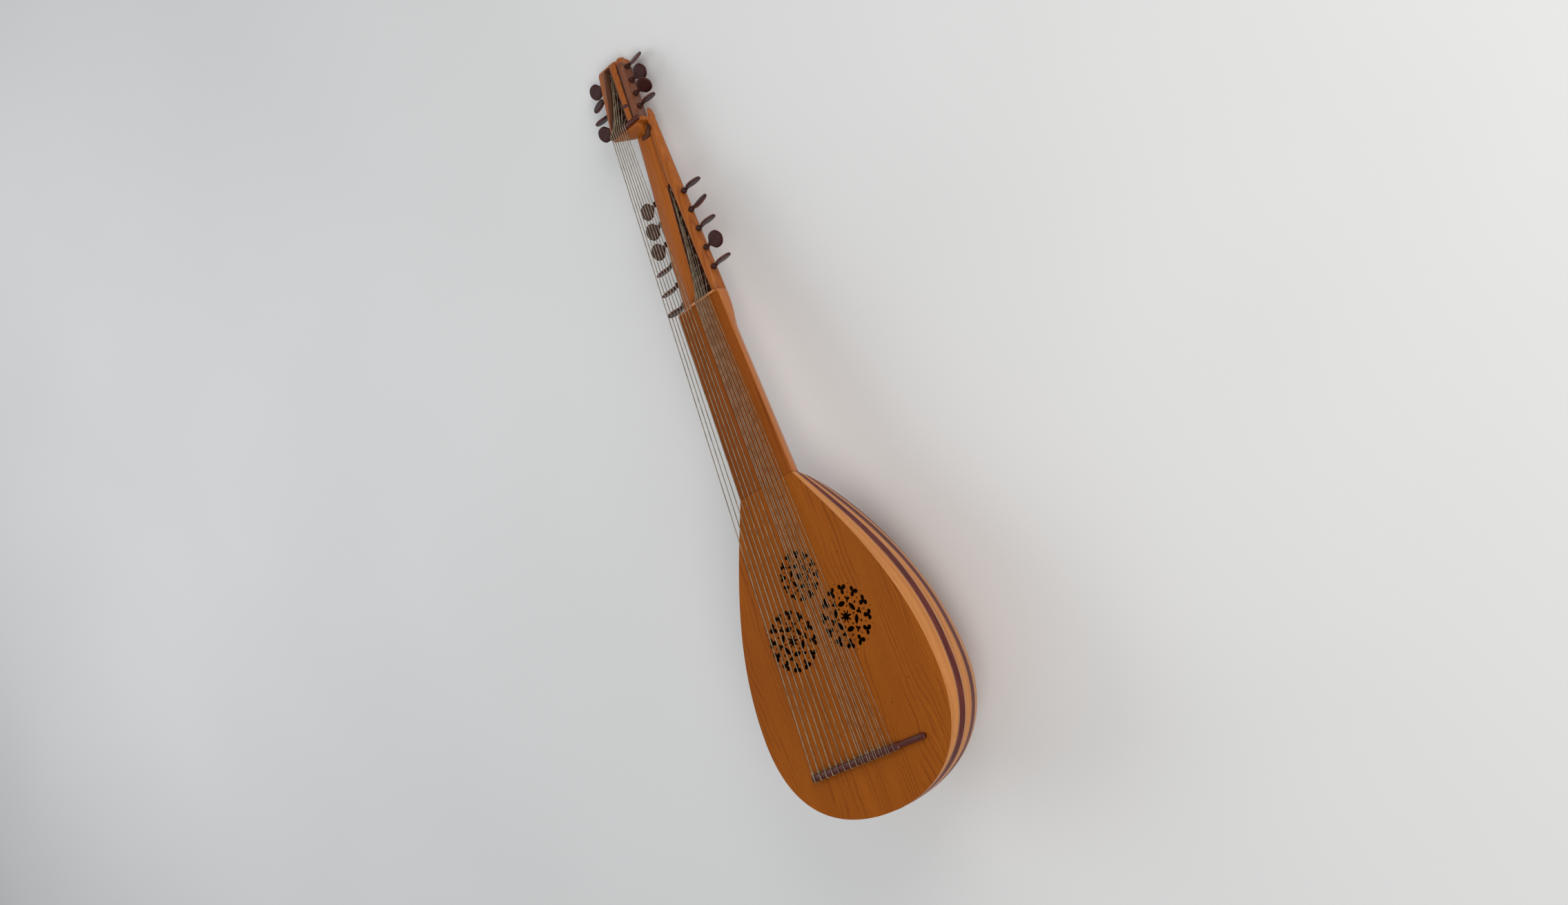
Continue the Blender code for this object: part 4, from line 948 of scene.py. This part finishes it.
def add_hollow(bm):
    """A cutter for the hollow beside the head block."""
    edge = catmull(HOLLOW_EDGE + HOLLOW_EDGE[:1], 5)[:-1]
    middle = tuple(sum(point[k] for point in edge) / len(edge) for k in (0, 1))
    rings = []
    for reach, down in HOLLOW_SECTION:
        ring = [(mix((middle[0], x), reach), mix((middle[1], y), reach)) for x, y in edge]
        rings.append([(x, y, extension_front(y) - down) for x, y in ring])
    add_loft(bm, rings)


def build_cheeks():
    stations = [NUT_END + PIECE_GAP, SLOT_END, SLOT_END + 0.0010, GROOVE_END]
    for name, node, side in (("bass_cheek", "pegbox_bass_cheek", -1),
                             ("treble_cheek", "pegbox_treble_cheek", 1)):
        ends = [EXTENSION_END] if side < 0 else [EXTENSION_END - HORN_STEP]
        rings = [[(side * x, y, extension_front(y) - down) for x, down in cheek_ring(y, side)]
                 for y in stations + ends]
        if side > 0:
            for i in range(7):
                angle = 0.5 * math.pi * i / 6
                ring = [Vector(point) for point in horn_ring(math.sin(angle))]
                middle = sum(ring, Vector()) / len(ring)
                rings.append([point.lerp(middle, 0.5 * (1.0 - math.cos(angle))) for point in ring])
        bm = bmesh.new()
        rows = add_loft(bm, rings)
        # The slot's inner walls take the second material, the trough's painted shade
        walls = {vert for row in rows for vert in (row[0], row[-1])}
        for face in bm.faces:
            face.material_index = int(all(vert in walls for vert in face.verts))
        bores = bmesh.new()
        for i, place_yz in enumerate(lower_peg_places()):
            way = 1 if i % 2 else -1
            add_bore(bores, place_yz, EXTENSION_TILT, way, lower_reach(place_yz, -way))
        hollow = bmesh.new()
        add_hollow(hollow)
        # The slot walls, the bores and the hollow get the trough's painted shade on their faces
        raw = paint(link(name + "_raw", bm), "cheek", "trough")
        place(cut_by(raw, [(bores, "trough"), (hollow, "trough")], name), "cheek", node)
    bm = bmesh.new()
    rings = []
    for y in (NUT_END + PIECE_GAP, EXTENSION_END):
        depth = extension_depth(y)
        ring = []
        for i in range(5):
            below = CHEEK_BACK_ROUND - BACK_PLATE_THICKNESS * (1.0 - i / 4)
            inset = CHEEK_BACK_ROUND - math.sqrt(max(CHEEK_BACK_ROUND ** 2 - below ** 2, 0.0))
            half = extension_half(y) - min(inset, 0.8 * CHEEK_BACK_ROUND)
            ring.append((half, y, extension_front(y) - depth + CHEEK_BACK_ROUND - below))
        rings.append(ring + [(-x, v, z) for x, v, z in reversed(ring)])
    add_loft(bm, rings)
    obj = paint(link("pegbox_back_plate", bm), "cheek", "trough")
    # Its upward faces, the slot's floor, take the trough's painted shade
    for face in obj.data.polygons:
        face.material_index = int(face.normal.z > 0.9)
    place(obj, "cheek", "pegbox_back")


def upper_ring(along, rise, depth):
    """Section of the upper pegbox; rise lowers its front."""
    share = along / UPPER_LENGTH
    bass, treble = mix(UPPER_BASS_X, share), mix(UPPER_TREBLE_X, share)
    soft = UPPER_EDGE_ROUND
    ring = []
    for i in range(5):
        angle = 0.5 * math.pi * i / 4
        ring.append((bass + soft * (1.0 - math.sin(angle)), UPPER_DEPTH - soft * (1.0 - math.cos(angle))))
    ring += [(bass + inset, max(down, 0.0)) for inset, down in catmull(UPPER_BASS_EDGE, 4)]
    ring += [(treble - inset, max(down, 0.0)) for inset, down in catmull(UPPER_MOULDING, 3)]
    treble -= UPPER_RECESS
    for i in range(5):
        angle = 0.5 * math.pi * i / 4
        ring.append((treble - soft * (1.0 - math.cos(angle)), UPPER_DEPTH - soft * (1.0 - math.sin(angle))))
    lean = math.tan(UPPER_TILT)
    squeeze = (depth - rise) / UPPER_DEPTH
    places = [(x, rise + down * squeeze) for x, down in ring]
    return [upper_point(x, max(along, down * lean), down) for x, down in places]


def build_upper_pegbox():
    """Upper pegbox with a beaded treble rail, a rounded top, a trough and bores for its pegs."""
    heel, lift = UPPER_HEEL
    stations = [(0.0, 0.0), (heel, 0.0)] + [(along, 0.0) for along in (*UPPER_BAND, BEAD_SHADE_END)]
    stations += catmull(UPPER_CROWN, 4)
    rings = [upper_ring(along, max(rise, 0.0), UPPER_DEPTH - (0.0 if along else lift))
             for along, rise in stations]
    bm = bmesh.new()
    rows = add_loft(bm, rings)
    dark, groove, bead = set(), set(), set()
    for row, (along, _) in zip(rows, stations):
        if along > BEAD_SHADE_END:
            continue
        side = mix(UPPER_TREBLE_X, along / UPPER_LENGTH)
        for vert in row:
            inset = side - vert.co.x
            # The second bead and the treble side take the bead's painted shade
            if inset < GROOVE_INSET:
                bead.add(vert)
            # The groove takes the trough's painted shade
            if inset > 0.0080 and inset < GROOVE_INSET:
                groove.add(vert)
            # Faces across bead 1 between the band's two rings take the painted shadow
            if along in UPPER_BAND and GROOVE_INSET - 0.0002 < inset < RAIL_INSET:
                dark.add(vert)
    for face in bm.faces:
        for number, verts in ((3, bead), (2, groove), (1, dark)):
            if all(vert in verts for vert in face.verts):
                face.material_index = number
    trough = bmesh.new()
    over = 0.004
    floor = UPPER_DEPTH - BACK_PLATE_THICKNESS
    cut_rings = []
    for along in (-over, TROUGH_END):
        share = along / TROUGH_END
        bass, treble = mix(TROUGH_BASS_X, share), mix(TROUGH_TREBLE_X, share)
        ring = [(bass, floor), (treble, floor)]
        for i in range(6):
            angle = 0.5 * math.pi * i / 5
            ring.append((treble + TROUGH_ROUNDS[1] * (1.0 - math.cos(angle)),
                         TROUGH_ROUNDS[1] * (1.0 - math.sin(angle))))
        ring.append((treble + TROUGH_ROUNDS[1], -over))
        ring.append((bass - TROUGH_ROUNDS[0], -over))
        for i in range(5, -1, -1):
            angle = 0.5 * math.pi * i / 5
            ring.append((bass - TROUGH_ROUNDS[0] * (1.0 - math.cos(angle)),
                         TROUGH_ROUNDS[0] * (1.0 - math.sin(angle))))
        cut_rings.append([upper_point(x, along, down) for x, down in ring])
    add_loft(trough, cut_rings)
    bores = bmesh.new()
    for i, place_yz in enumerate(upper_peg_places()):
        side = -1 if i % 2 else 1
        add_bore(bores, place_yz, UPPER_TILT, side, upper_reach(UPPER_PEG_ALONGS[i], -side))
    # The trough and the bores are cut with the trough's painted shade on their faces
    raw = paint(link("upper_pegbox_raw", bm), "cheek", "band", "trough", "bead")
    obj = cut_by(raw, [(trough, "trough"), (bores, "trough")], "upper_pegbox_body")
    place(obj, "cheek", "upper_pegbox")


def hull(points):
    bm = bmesh.new()
    for point in points:
        bm.verts.new(point)
    bmesh.ops.convex_hull(bm, input=bm.verts)
    bmesh.ops.dissolve_limit(bm, angle_limit=math.radians(2), verts=bm.verts, edges=bm.edges)
    return bm


def build_head_block():
    """Faceted block under the diapason nut, with a shoulder that runs over to the treble cheek."""
    end = EXTENSION_END
    toe = end - HEAD_BLOCK_FRONT
    half = extension_half(end) - 0.0006

    def seat(x, y):
        return (x, y, extension_front(y) + PIECE_GAP)

    bass, treble = HEAD_X
    inner, inner_toe = HEAD_BLOCK_TREBLE_X
    top = HEAD_BLOCK_TOP
    points = [(bass, end - 0.0095, top), (bass, end, top), (inner, end, top),
              (inner, end - 0.0110, top), (bass, end, top - 0.0090),
              (bass, end - 0.0070, top - 0.0070), seat(-half, end), seat(inner, end),
              seat(inner_toe, toe), seat(-half, toe + 0.0030)]
    obj = soften(link("head_block_raw", hull(points)), "head_block_body", 0.0014, 4)
    place(obj, "cheek", "head_block")
    points = [point for y in (end - SHOULDER_THICKNESS, end - PIECE_GAP)
              for point in ((inner - 0.0040, y, top), (treble - 0.0010, y, top),
                            (half, y, top - SHOULDER_DROP), seat(inner - 0.0040, y),
                            seat(half, y))]
    obj = soften(link("head_shoulder_raw", hull(points)), "head_shoulder", 0.0022, 4)
    place(obj, "cheek", "head_block")


def build_diapason_nut():
    bm = bmesh.new()
    front = EXTENSION_END - DIAPASON_NUT_WIDTH
    outline = [(front, DIAPASON_NUT_FOOT), (front, DIAPASON_NUT_TOP),
               (EXTENSION_END, DIAPASON_NUT_TOP), (EXTENSION_END, DIAPASON_NUT_FOOT)]
    add_loft(bm, [[(x, y, z) for y, z in outline] for x in HEAD_X])
    obj = soften(link("diapason_nut_raw", bm), "diapason_nut_bar", 0.0010, 3)
    place(obj, "dark_wood", "diapason_nut")


def build_bridge():
    half = BRIDGE_HALF_WIDTH

    def section(x, height, share):
        back, front = BRIDGE_Y - half * share, BRIDGE_Y + half * share
        soft = 0.0010 * share
        return [(x, back, PIECE_GAP), (x, back, height - soft), (x, back + 0.3 * soft, height - 0.3 * soft),
                (x, back + soft, height), (x, front - 2 * soft, height),
                (x, front - soft, height - 0.4 * soft), (x, front, 0.55 * height),
                (x, front, PIECE_GAP)]

    step = 0.0016
    bass, treble = BRIDGE_X
    rings = [section(bass, 0.45 * BRIDGE_HEIGHT, 0.7),
             section(bass + 0.0040, 0.62 * BRIDGE_HEIGHT, 0.9),
             section(bass + 0.0040 + step, BRIDGE_HEIGHT, 1.0),
             section(BRIDGE_BLOCK_END_X, BRIDGE_HEIGHT, 1.0)]
    for i in range(1, 6):
        share = 0.5 - 0.5 * math.cos(math.pi * i / 5)
        rings.append(section(BRIDGE_BLOCK_END_X + 3 * step * i / 5,
                             mix((BRIDGE_HEIGHT, BRIDGE_WING_HEIGHT), share),
                             mix((1.0, 0.88), share)))
    rings.append(section(treble - 0.0060, BRIDGE_WING_HEIGHT, 0.88))
    for i in range(1, 6):
        angle = 0.5 * math.pi * i / 5
        rings.append(section(treble - 0.0060 + 0.0060 * math.sin(angle),
                             BRIDGE_WING_HEIGHT * (0.6 + 0.4 * math.cos(angle)),
                             0.45 + 0.43 * math.cos(angle)))
    bm = bmesh.new()
    add_loft(bm, rings)
    place(link("string_bridge", bm), "dark_wood", "bridge", angle=math.radians(50))


def catmull(points, steps):
    """Smooth run of tuples through the given ones."""
    run = []
    padded = [points[0]] + list(points) + [points[-1]]
    for a, b, c, d in zip(padded, padded[1:], padded[2:], padded[3:]):
        for i in range(steps):
            t = i / steps
            run.append(tuple(
                0.5 * (2 * q + (r - p) * t + (2 * p - 5 * q + 4 * r - s) * t * t
                       + (3 * q - p - 3 * r + s) * t * t * t)
                for p, q, r, s in zip(a, b, c, d)))
    run.append(points[-1])
    return run


COLLAR = ((0.0014, 0.0030, 0.0030), (0.0016, 0.0040, 0.0040), (0.0021, 0.0045, 0.0045),
          (0.0033, 0.0045, 0.0045), (0.0039, 0.0040, 0.0040), (0.0043, 0.0033, 0.0033))
KEY = ((0.0050, 0.0029, 0.0029), (0.0095, 0.0026, 0.0024), (0.0125, 0.0062, 0.0022),
       (0.0160, 0.0105, 0.0024), (0.0225, 0.0122, 0.0024), (0.0290, 0.0108, 0.0022),
       (0.0330, 0.0066, 0.0019), (0.0345, 0.0026, 0.0014))


def key_section(wide, thick, spin, dish):
    """Section of a key: rounded on its rim, and a little hollowed on both faces."""
    ring = []
    for i in range(PEG_SIDES):
        angle = 2 * math.pi * i / PEG_SIDES
        u = math.copysign(abs(math.cos(angle)) ** 0.85, math.cos(angle))
        v = math.copysign(abs(math.sin(angle)) ** 0.70, math.sin(angle))
        hollow = 1.0 - dish * (1.0 - min(abs(u), 1.0)) ** 1.2
        v, u = thick * v * hollow, wide * u
        ring.append((u * math.cos(spin) - v * math.sin(spin),
                     u * math.sin(spin) + v * math.cos(spin)))
    return ring


def build_peg(number, place_yz, tilt, side, cheek, far_cheek, scale, turn):
    name = "peg_%02d" % number
    tip = BORE_FLOOR + TIP_CLEARANCE - far_cheek
    stations = [(tip, 0.6 * SHAFT_TIP_RADIUS, 0.6 * SHAFT_TIP_RADIUS, 0.0),
                (tip + 0.0004, SHAFT_TIP_RADIUS, SHAFT_TIP_RADIUS, 0.0),
                (cheek - 0.0004, SHAFT_RADIUS, SHAFT_RADIUS, 0.0)]
    stations += [(cheek + r * scale, w * scale, t * scale, 0.0) for r, w, t in COLLAR]
    first_key = len(stations)
    for reach, wide, thick in catmull(KEY, KEY_STEPS):
        roundness = min(max((wide - 0.0060) / 0.0060, 0.0), 1.0)
        stations.append((cheek + reach * scale, wide * scale, thick * scale, 0.30 * roundness))
    spin = math.radians(turn)
    centre, lean = Vector((0.0, *place_yz)), leaned(tilt)
    bm = bmesh.new()
    rings = []
    for x, wide, thick, dish in stations:
        rings.append([centre + lean @ Vector((side * x, u, v))
                      for u, v in key_section(wide, thick, spin, dish)])
    rows = add_loft(bm, rings)
    # The keys' rims take the lighter wood: worn edges and a painted highlight
    rim = {vert for row in rows[first_key + 2 * KEY_STEPS:] for i, vert in enumerate(row)
           if abs(math.cos(2 * math.pi * i / PEG_SIDES)) > 0.93}
    for face in bm.faces:
        if all(vert in rim for vert in face.verts):
            face.material_index = 1
    obj = link("tuner_" + name[4:], bm)
    obj.data.materials.append(MATERIALS["peg"])
    obj.data.materials.append(MATERIALS["peg_rim"])
    place(obj, "peg", name, body=name, angle=math.radians(50))


def lower_peg_places():
    count = 2 * STOPPED_COURSES - 1
    stations = [LOWER_PEG_FIRST + LOWER_PEG_PITCH * i for i in range(count)]
    return [(y, extension_front(y) - LOWER_PEG_DEPTH) for y in stations]


def upper_point(x, along, down):
    y = EXTENSION_END + PIECE_GAP + along * math.cos(UPPER_TILT) - down * math.sin(UPPER_TILT)
    z = UPPER_FRONT - along * math.sin(UPPER_TILT) - down * math.cos(UPPER_TILT)
    return (x, y, z)


def upper_peg_places():
    return [upper_point(0.0, along, UPPER_PEG_DEPTH)[1:] for along in UPPER_PEG_ALONGS]


def build_pegs():
    number = 1
    for i, place_yz in enumerate(lower_peg_places()):
        side = 1 if i % 2 else -1
        build_peg(number, place_yz, EXTENSION_TILT, side, lower_reach(place_yz, side),
                  lower_reach(place_yz, -side), 1.0, LOWER_TURNS[i])
        number += 1
    for i, place_yz in enumerate(upper_peg_places()):
        side = -1 if i % 2 else 1
        along = UPPER_PEG_ALONGS[i]
        build_peg(number, place_yz, UPPER_TILT, side, upper_reach(along, side),
                  upper_reach(along, -side), UPPER_HEAD_SCALE, UPPER_TURNS[i])
        number += 1


def at_x(place_yz, tilt, x):
    """Where a peg's axis passes one place across the instrument, as (y, z)."""
    return axis_point(place_yz, tilt, x / math.cos(PEG_LEAN))[1:]


def tube(name, points, radius):
    curve = bpy.data.curves.new(name, 'CURVE')
    curve.dimensions = '3D'
    curve.bevel_depth = radius
    curve.bevel_resolution = 3
    curve.use_fill_caps = True
    spline = curve.splines.new('POLY')
    spline.points.add(len(points) - 1)
    for knot, point in zip(spline.points, points):
        knot.co = (*point, 1.0)
    obj = bpy.data.objects.new(name + "_raw", curve)
    bpy.context.scene.collection.objects.link(obj)
    return baked(obj, name)


def bridge_start(x, radius):
    """The string's way from its knot behind the bridge, over the top, to the front edge."""
    lift = BRIDGE_HEIGHT + PIECE_GAP + radius
    back = BRIDGE_Y - BRIDGE_HALF_WIDTH - PIECE_GAP - radius
    front = BRIDGE_Y + BRIDGE_HALF_WIDTH
    corner = 0.0012
    points = [(x, back, STRING_TAIL_HEIGHT), (x, back, lift - corner)]
    for i in range(1, 6):
        angle = 0.5 * math.pi * i / 5
        points.append((x, back + corner * (1 - math.cos(angle)),
                       lift - corner + corner * math.sin(angle)))
    return points + [(x, front, lift)]


def slot_place(x, spread, middle, low, high):
    half = 0.5 * (high - low) - STRING_SIDE_CLEARANCE
    return 0.5 * (low + high) + (x - middle) * half / spread


def build_winding(number, place_yz, tilt, x, radius, step):
    """Turns of a string round its peg, which move with the peg."""
    centre, lean = Vector((0.0, *place_yz)), leaned(tilt)
    start = x / math.cos(PEG_LEAN)
    reach = SHAFT_RADIUS + 0.5 * PIECE_GAP + radius
    points = []
    per_turn = 16
    for i in range(WINDING_TURNS * per_turn + 1):
        angle = 0.5 * math.pi + 2 * math.pi * i / per_turn
        points.append(centre + lean @ Vector((start + step * 2.1 * radius * i / per_turn,
                                              reach * math.cos(angle), reach * math.sin(angle))))
    obj = tube("winding_%02d" % number, points, radius)
    # The winding takes the darker string colour: painted shade
    obj.data.materials.clear()
    obj.data.materials.append(MATERIALS["winding"])
    place(obj, "string", None, body="peg_%02d" % number, angle=math.radians(60))


def build_tie(name, x, radius):
    """The string's own end, wound back round it in front of the bridge."""
    lift = BRIDGE_HEIGHT + PIECE_GAP + radius
    front = BRIDGE_Y + BRIDGE_HALF_WIDTH
    reach = 1.9 * radius
    points = [(x + 1.4 * radius, front + 0.0004, 0.60 * BRIDGE_HEIGHT)]
    per_turn = 14
    for i in range(TIE_TURNS * per_turn + 1):
        angle = 2 * math.pi * i / per_turn
        points.append((x + reach * math.cos(angle), front + 0.0009 + 2.0 * radius * i / per_turn,
                       lift + reach * math.sin(angle)))
    return tube(name, points, 0.85 * radius)


def stopped_strings():
    strings = [(0, STOPPED_TREBLE_BRIDGE_X, STOPPED_TREBLE_NUT_X)]
    for course in range(1, STOPPED_COURSES):
        bridge = STOPPED_TREBLE_BRIDGE_X - STOPPED_BRIDGE_PITCH * course
        nut = STOPPED_TREBLE_NUT_X + 0.0005 - STOPPED_NUT_PITCH * course
        for side in (1, -1):
            strings.append((course, bridge + side * 0.5 * PAIR_BRIDGE_SPACING,
                            nut + side * 0.5 * PAIR_NUT_SPACING))
    return strings


def string_piece(name, points, radius, node):
    obj = tube(name, points, radius)
    place(obj, "string", node, angle=math.radians(60))


def build_stopped_strings():
    strings = stopped_strings()
    nut_places = [nut for _, _, nut in strings]
    middle = 0.5 * (min(nut_places) + max(nut_places))
    spread = 0.5 * (max(nut_places) - min(nut_places))
    pegs = lower_peg_places()
    order = sorted(range(len(strings)), key=lambda i: -abs(nut_places[i] - middle))
    bass = [i for i in order if nut_places[i] < middle]
    treble = [i for i in order if nut_places[i] >= middle]
    peg_of = {}
    for rank, i in enumerate(bass):
        peg_of[i] = 2 * rank
    for rank, i in enumerate(treble):
        peg_of[i] = 2 * rank + 1
    for i, (course, bridge, nut) in enumerate(strings):
        radius = FIRST_STRING_RADIUS + STRING_RADIUS_STEP * course
        place_yz = pegs[peg_of[i]]
        share = (place_yz[0] - NUT_END) / (SLOT_END - NUT_END)
        x = slot_place(nut, spread, middle, mix(SLOT_BASS_X, share), mix(SLOT_TREBLE_X, share))
        y, z = at_x(place_yz, EXTENSION_TILT, x)
        lift = NUT_HEIGHT + 0.5 * PIECE_GAP + radius
        points = bridge_start(bridge, radius)
        points += [(nut, NUT_END - NUT_WIDTH + 0.0005, lift), (nut, NUT_END - 0.0012, lift),
                   (nut, NUT_END - 0.0002, lift - 0.0003),
                   (x, y, z + SHAFT_RADIUS + 0.5 * PIECE_GAP + radius)]
        string_piece("stopped_string_%02d" % (i + 1), points, radius, "course_%02d" % (course + 1))
        tie = build_tie("stopped_tie_%02d" % (i + 1), bridge, radius)
        place(tie, "string", None, angle=math.radians(60))
        build_winding(peg_of[i] + 1, place_yz, EXTENSION_TILT, x, radius, 1 if x < middle else -1)


def build_diapasons():
    pegs = upper_peg_places()
    middle = 0.5 * sum(DIAPASON_NUT_X)
    spread = 0.5 * abs(DIAPASON_NUT_X[0] - DIAPASON_NUT_X[1])
    half = DIAPASONS // 2
    for i in range(DIAPASONS):
        share = i / (DIAPASONS - 1)
        radius = DIAPASON_RADIUS + DIAPASON_RADIUS_STEP * i
        bridge, nut = mix(DIAPASON_BRIDGE_X, share), mix(DIAPASON_NUT_X, share)
        peg = 2 * i if i < half else 2 * (DIAPASONS - 1 - i) + 1
        along = UPPER_PEG_ALONGS[peg] / TROUGH_END
        x = slot_place(nut, spread, middle, mix(TROUGH_BASS_X, along), mix(TROUGH_TREBLE_X, along))
        # Windings run inwards, but the two inmost ones away from each other
        step = 1 if x < slot_place(middle, spread, middle, mix(TROUGH_BASS_X, along),
                                   mix(TROUGH_TREBLE_X, along)) else -1
        if i in (half - 1, half):
            step = -step
            x += step * INMOST_SHIFT
        lift = DIAPASON_NUT_TOP + 0.5 * PIECE_GAP + radius
        y, z = at_x(pegs[peg], UPPER_TILT, x)
        points = bridge_start(bridge, radius)
        points += [(nut, EXTENSION_END - DIAPASON_NUT_WIDTH + 0.0006, lift),
                   (nut, EXTENSION_END - 0.0014, lift), (nut, EXTENSION_END - 0.0002, lift - 0.0004),
                   (x, y, z + SHAFT_RADIUS + 0.5 * PIECE_GAP + radius)]
        string_piece("diapason_%02d" % (i + 1), points, radius,
                     "course_%02d" % (STOPPED_COURSES + i + 1))
        tie = build_tie("diapason_tie_%02d" % (i + 1), bridge, radius)
        place(tie, "string", None, angle=math.radians(60))
        build_winding(len(lower_peg_places()) + peg + 1, pegs[peg], UPPER_TILT, x, radius, step)


def dress_cad_nodes():
    """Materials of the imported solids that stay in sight."""
    for node in ("end_block", "neck_block"):
        obj = frame["nodes"][node]
        obj.data.materials.clear()
        obj.data.materials.append(MATERIALS["inner_wood"])


def build_floor():
    bpy.ops.mesh.primitive_plane_add(size=14.0, location=(0.0, 0.0, 0.0))
    floor = bpy.context.object
    floor.name = "studio_floor"
    floor.data.materials.append(floor_material())


def add_area_light(name, place_at, target, size, power, color):
    data = bpy.data.lights.new(name, 'AREA')
    data.shape = 'RECTANGLE'
    data.size, data.size_y = size
    data.energy = power
    data.color = color
    obj = bpy.data.objects.new(name, data)
    obj.location = place_at
    aim = Vector(target) - Vector(place_at)
    obj.rotation_euler = aim.to_track_quat('-Z', 'Y').to_euler()
    bpy.context.scene.collection.objects.link(obj)


def build_studio():
    build_floor()
    add_area_light("key", (1.5, -1.3, 2.4), (0.0, 0.0, 0.1), (1.6, 1.6), 36.0, (1.0, 0.98, 0.95))
    add_area_light("fill", (-2.0, 0.8, 1.8), (0.0, 0.0, 0.1), (2.0, 2.0), 20.0, (0.94, 0.97, 1.0))
    add_area_light("side", (2.1, 1.1, 1.2), (0.0, 0.2, 0.08), (1.2, 1.8), 24.0, (1.0, 0.97, 0.95))
    world = bpy.data.worlds.new("studio")
    world.use_nodes = True
    tree = world.node_tree
    shader = tree.nodes["Background"]
    shader.inputs["Color"].default_value = (0.92, 0.95, 1.0, 1.0)
    path = tree.nodes.new("ShaderNodeLightPath")
    seen = spread(tree, path.outputs["Is Camera Ray"], 0.0, 1.0, WORLD_LIGHT, WORLD_SEEN)
    tree.links.new(seen, shader.inputs["Strength"])
    bpy.context.scene.world = world


def build_camera():
    right, down = Vector(CAMERA_RIGHT), Vector(CAMERA_DOWN)
    back = right.cross(-down).normalized()
    up = back.cross(right).normalized()
    pose = Matrix((right, up, back)).transposed().to_4x4()
    pose.translation = Vector(CAMERA_PLACE)
    data = bpy.data.cameras.new("photo_view")
    data.sensor_fit = 'HORIZONTAL'
    data.sensor_width = SENSOR_WIDTH
    data.lens = FOCAL_PIXELS / PHOTO_WIDTH * SENSOR_WIDTH
    camera = bpy.data.objects.new("photo_view", data)
    camera.matrix_world = REST @ pose
    bpy.context.scene.collection.objects.link(camera)
    bpy.context.scene.camera = camera
    bpy.context.scene.view_settings.view_transform = 'Standard'


dress_cad_nodes()
build_bowl()
build_clasp()
build_soundboard()
build_neck()
build_cheeks()
build_head_block()
build_diapason_nut()
build_upper_pegbox()
build_bridge()
build_pegs()
build_stopped_strings()
build_diapasons()
build_studio()
build_camera()
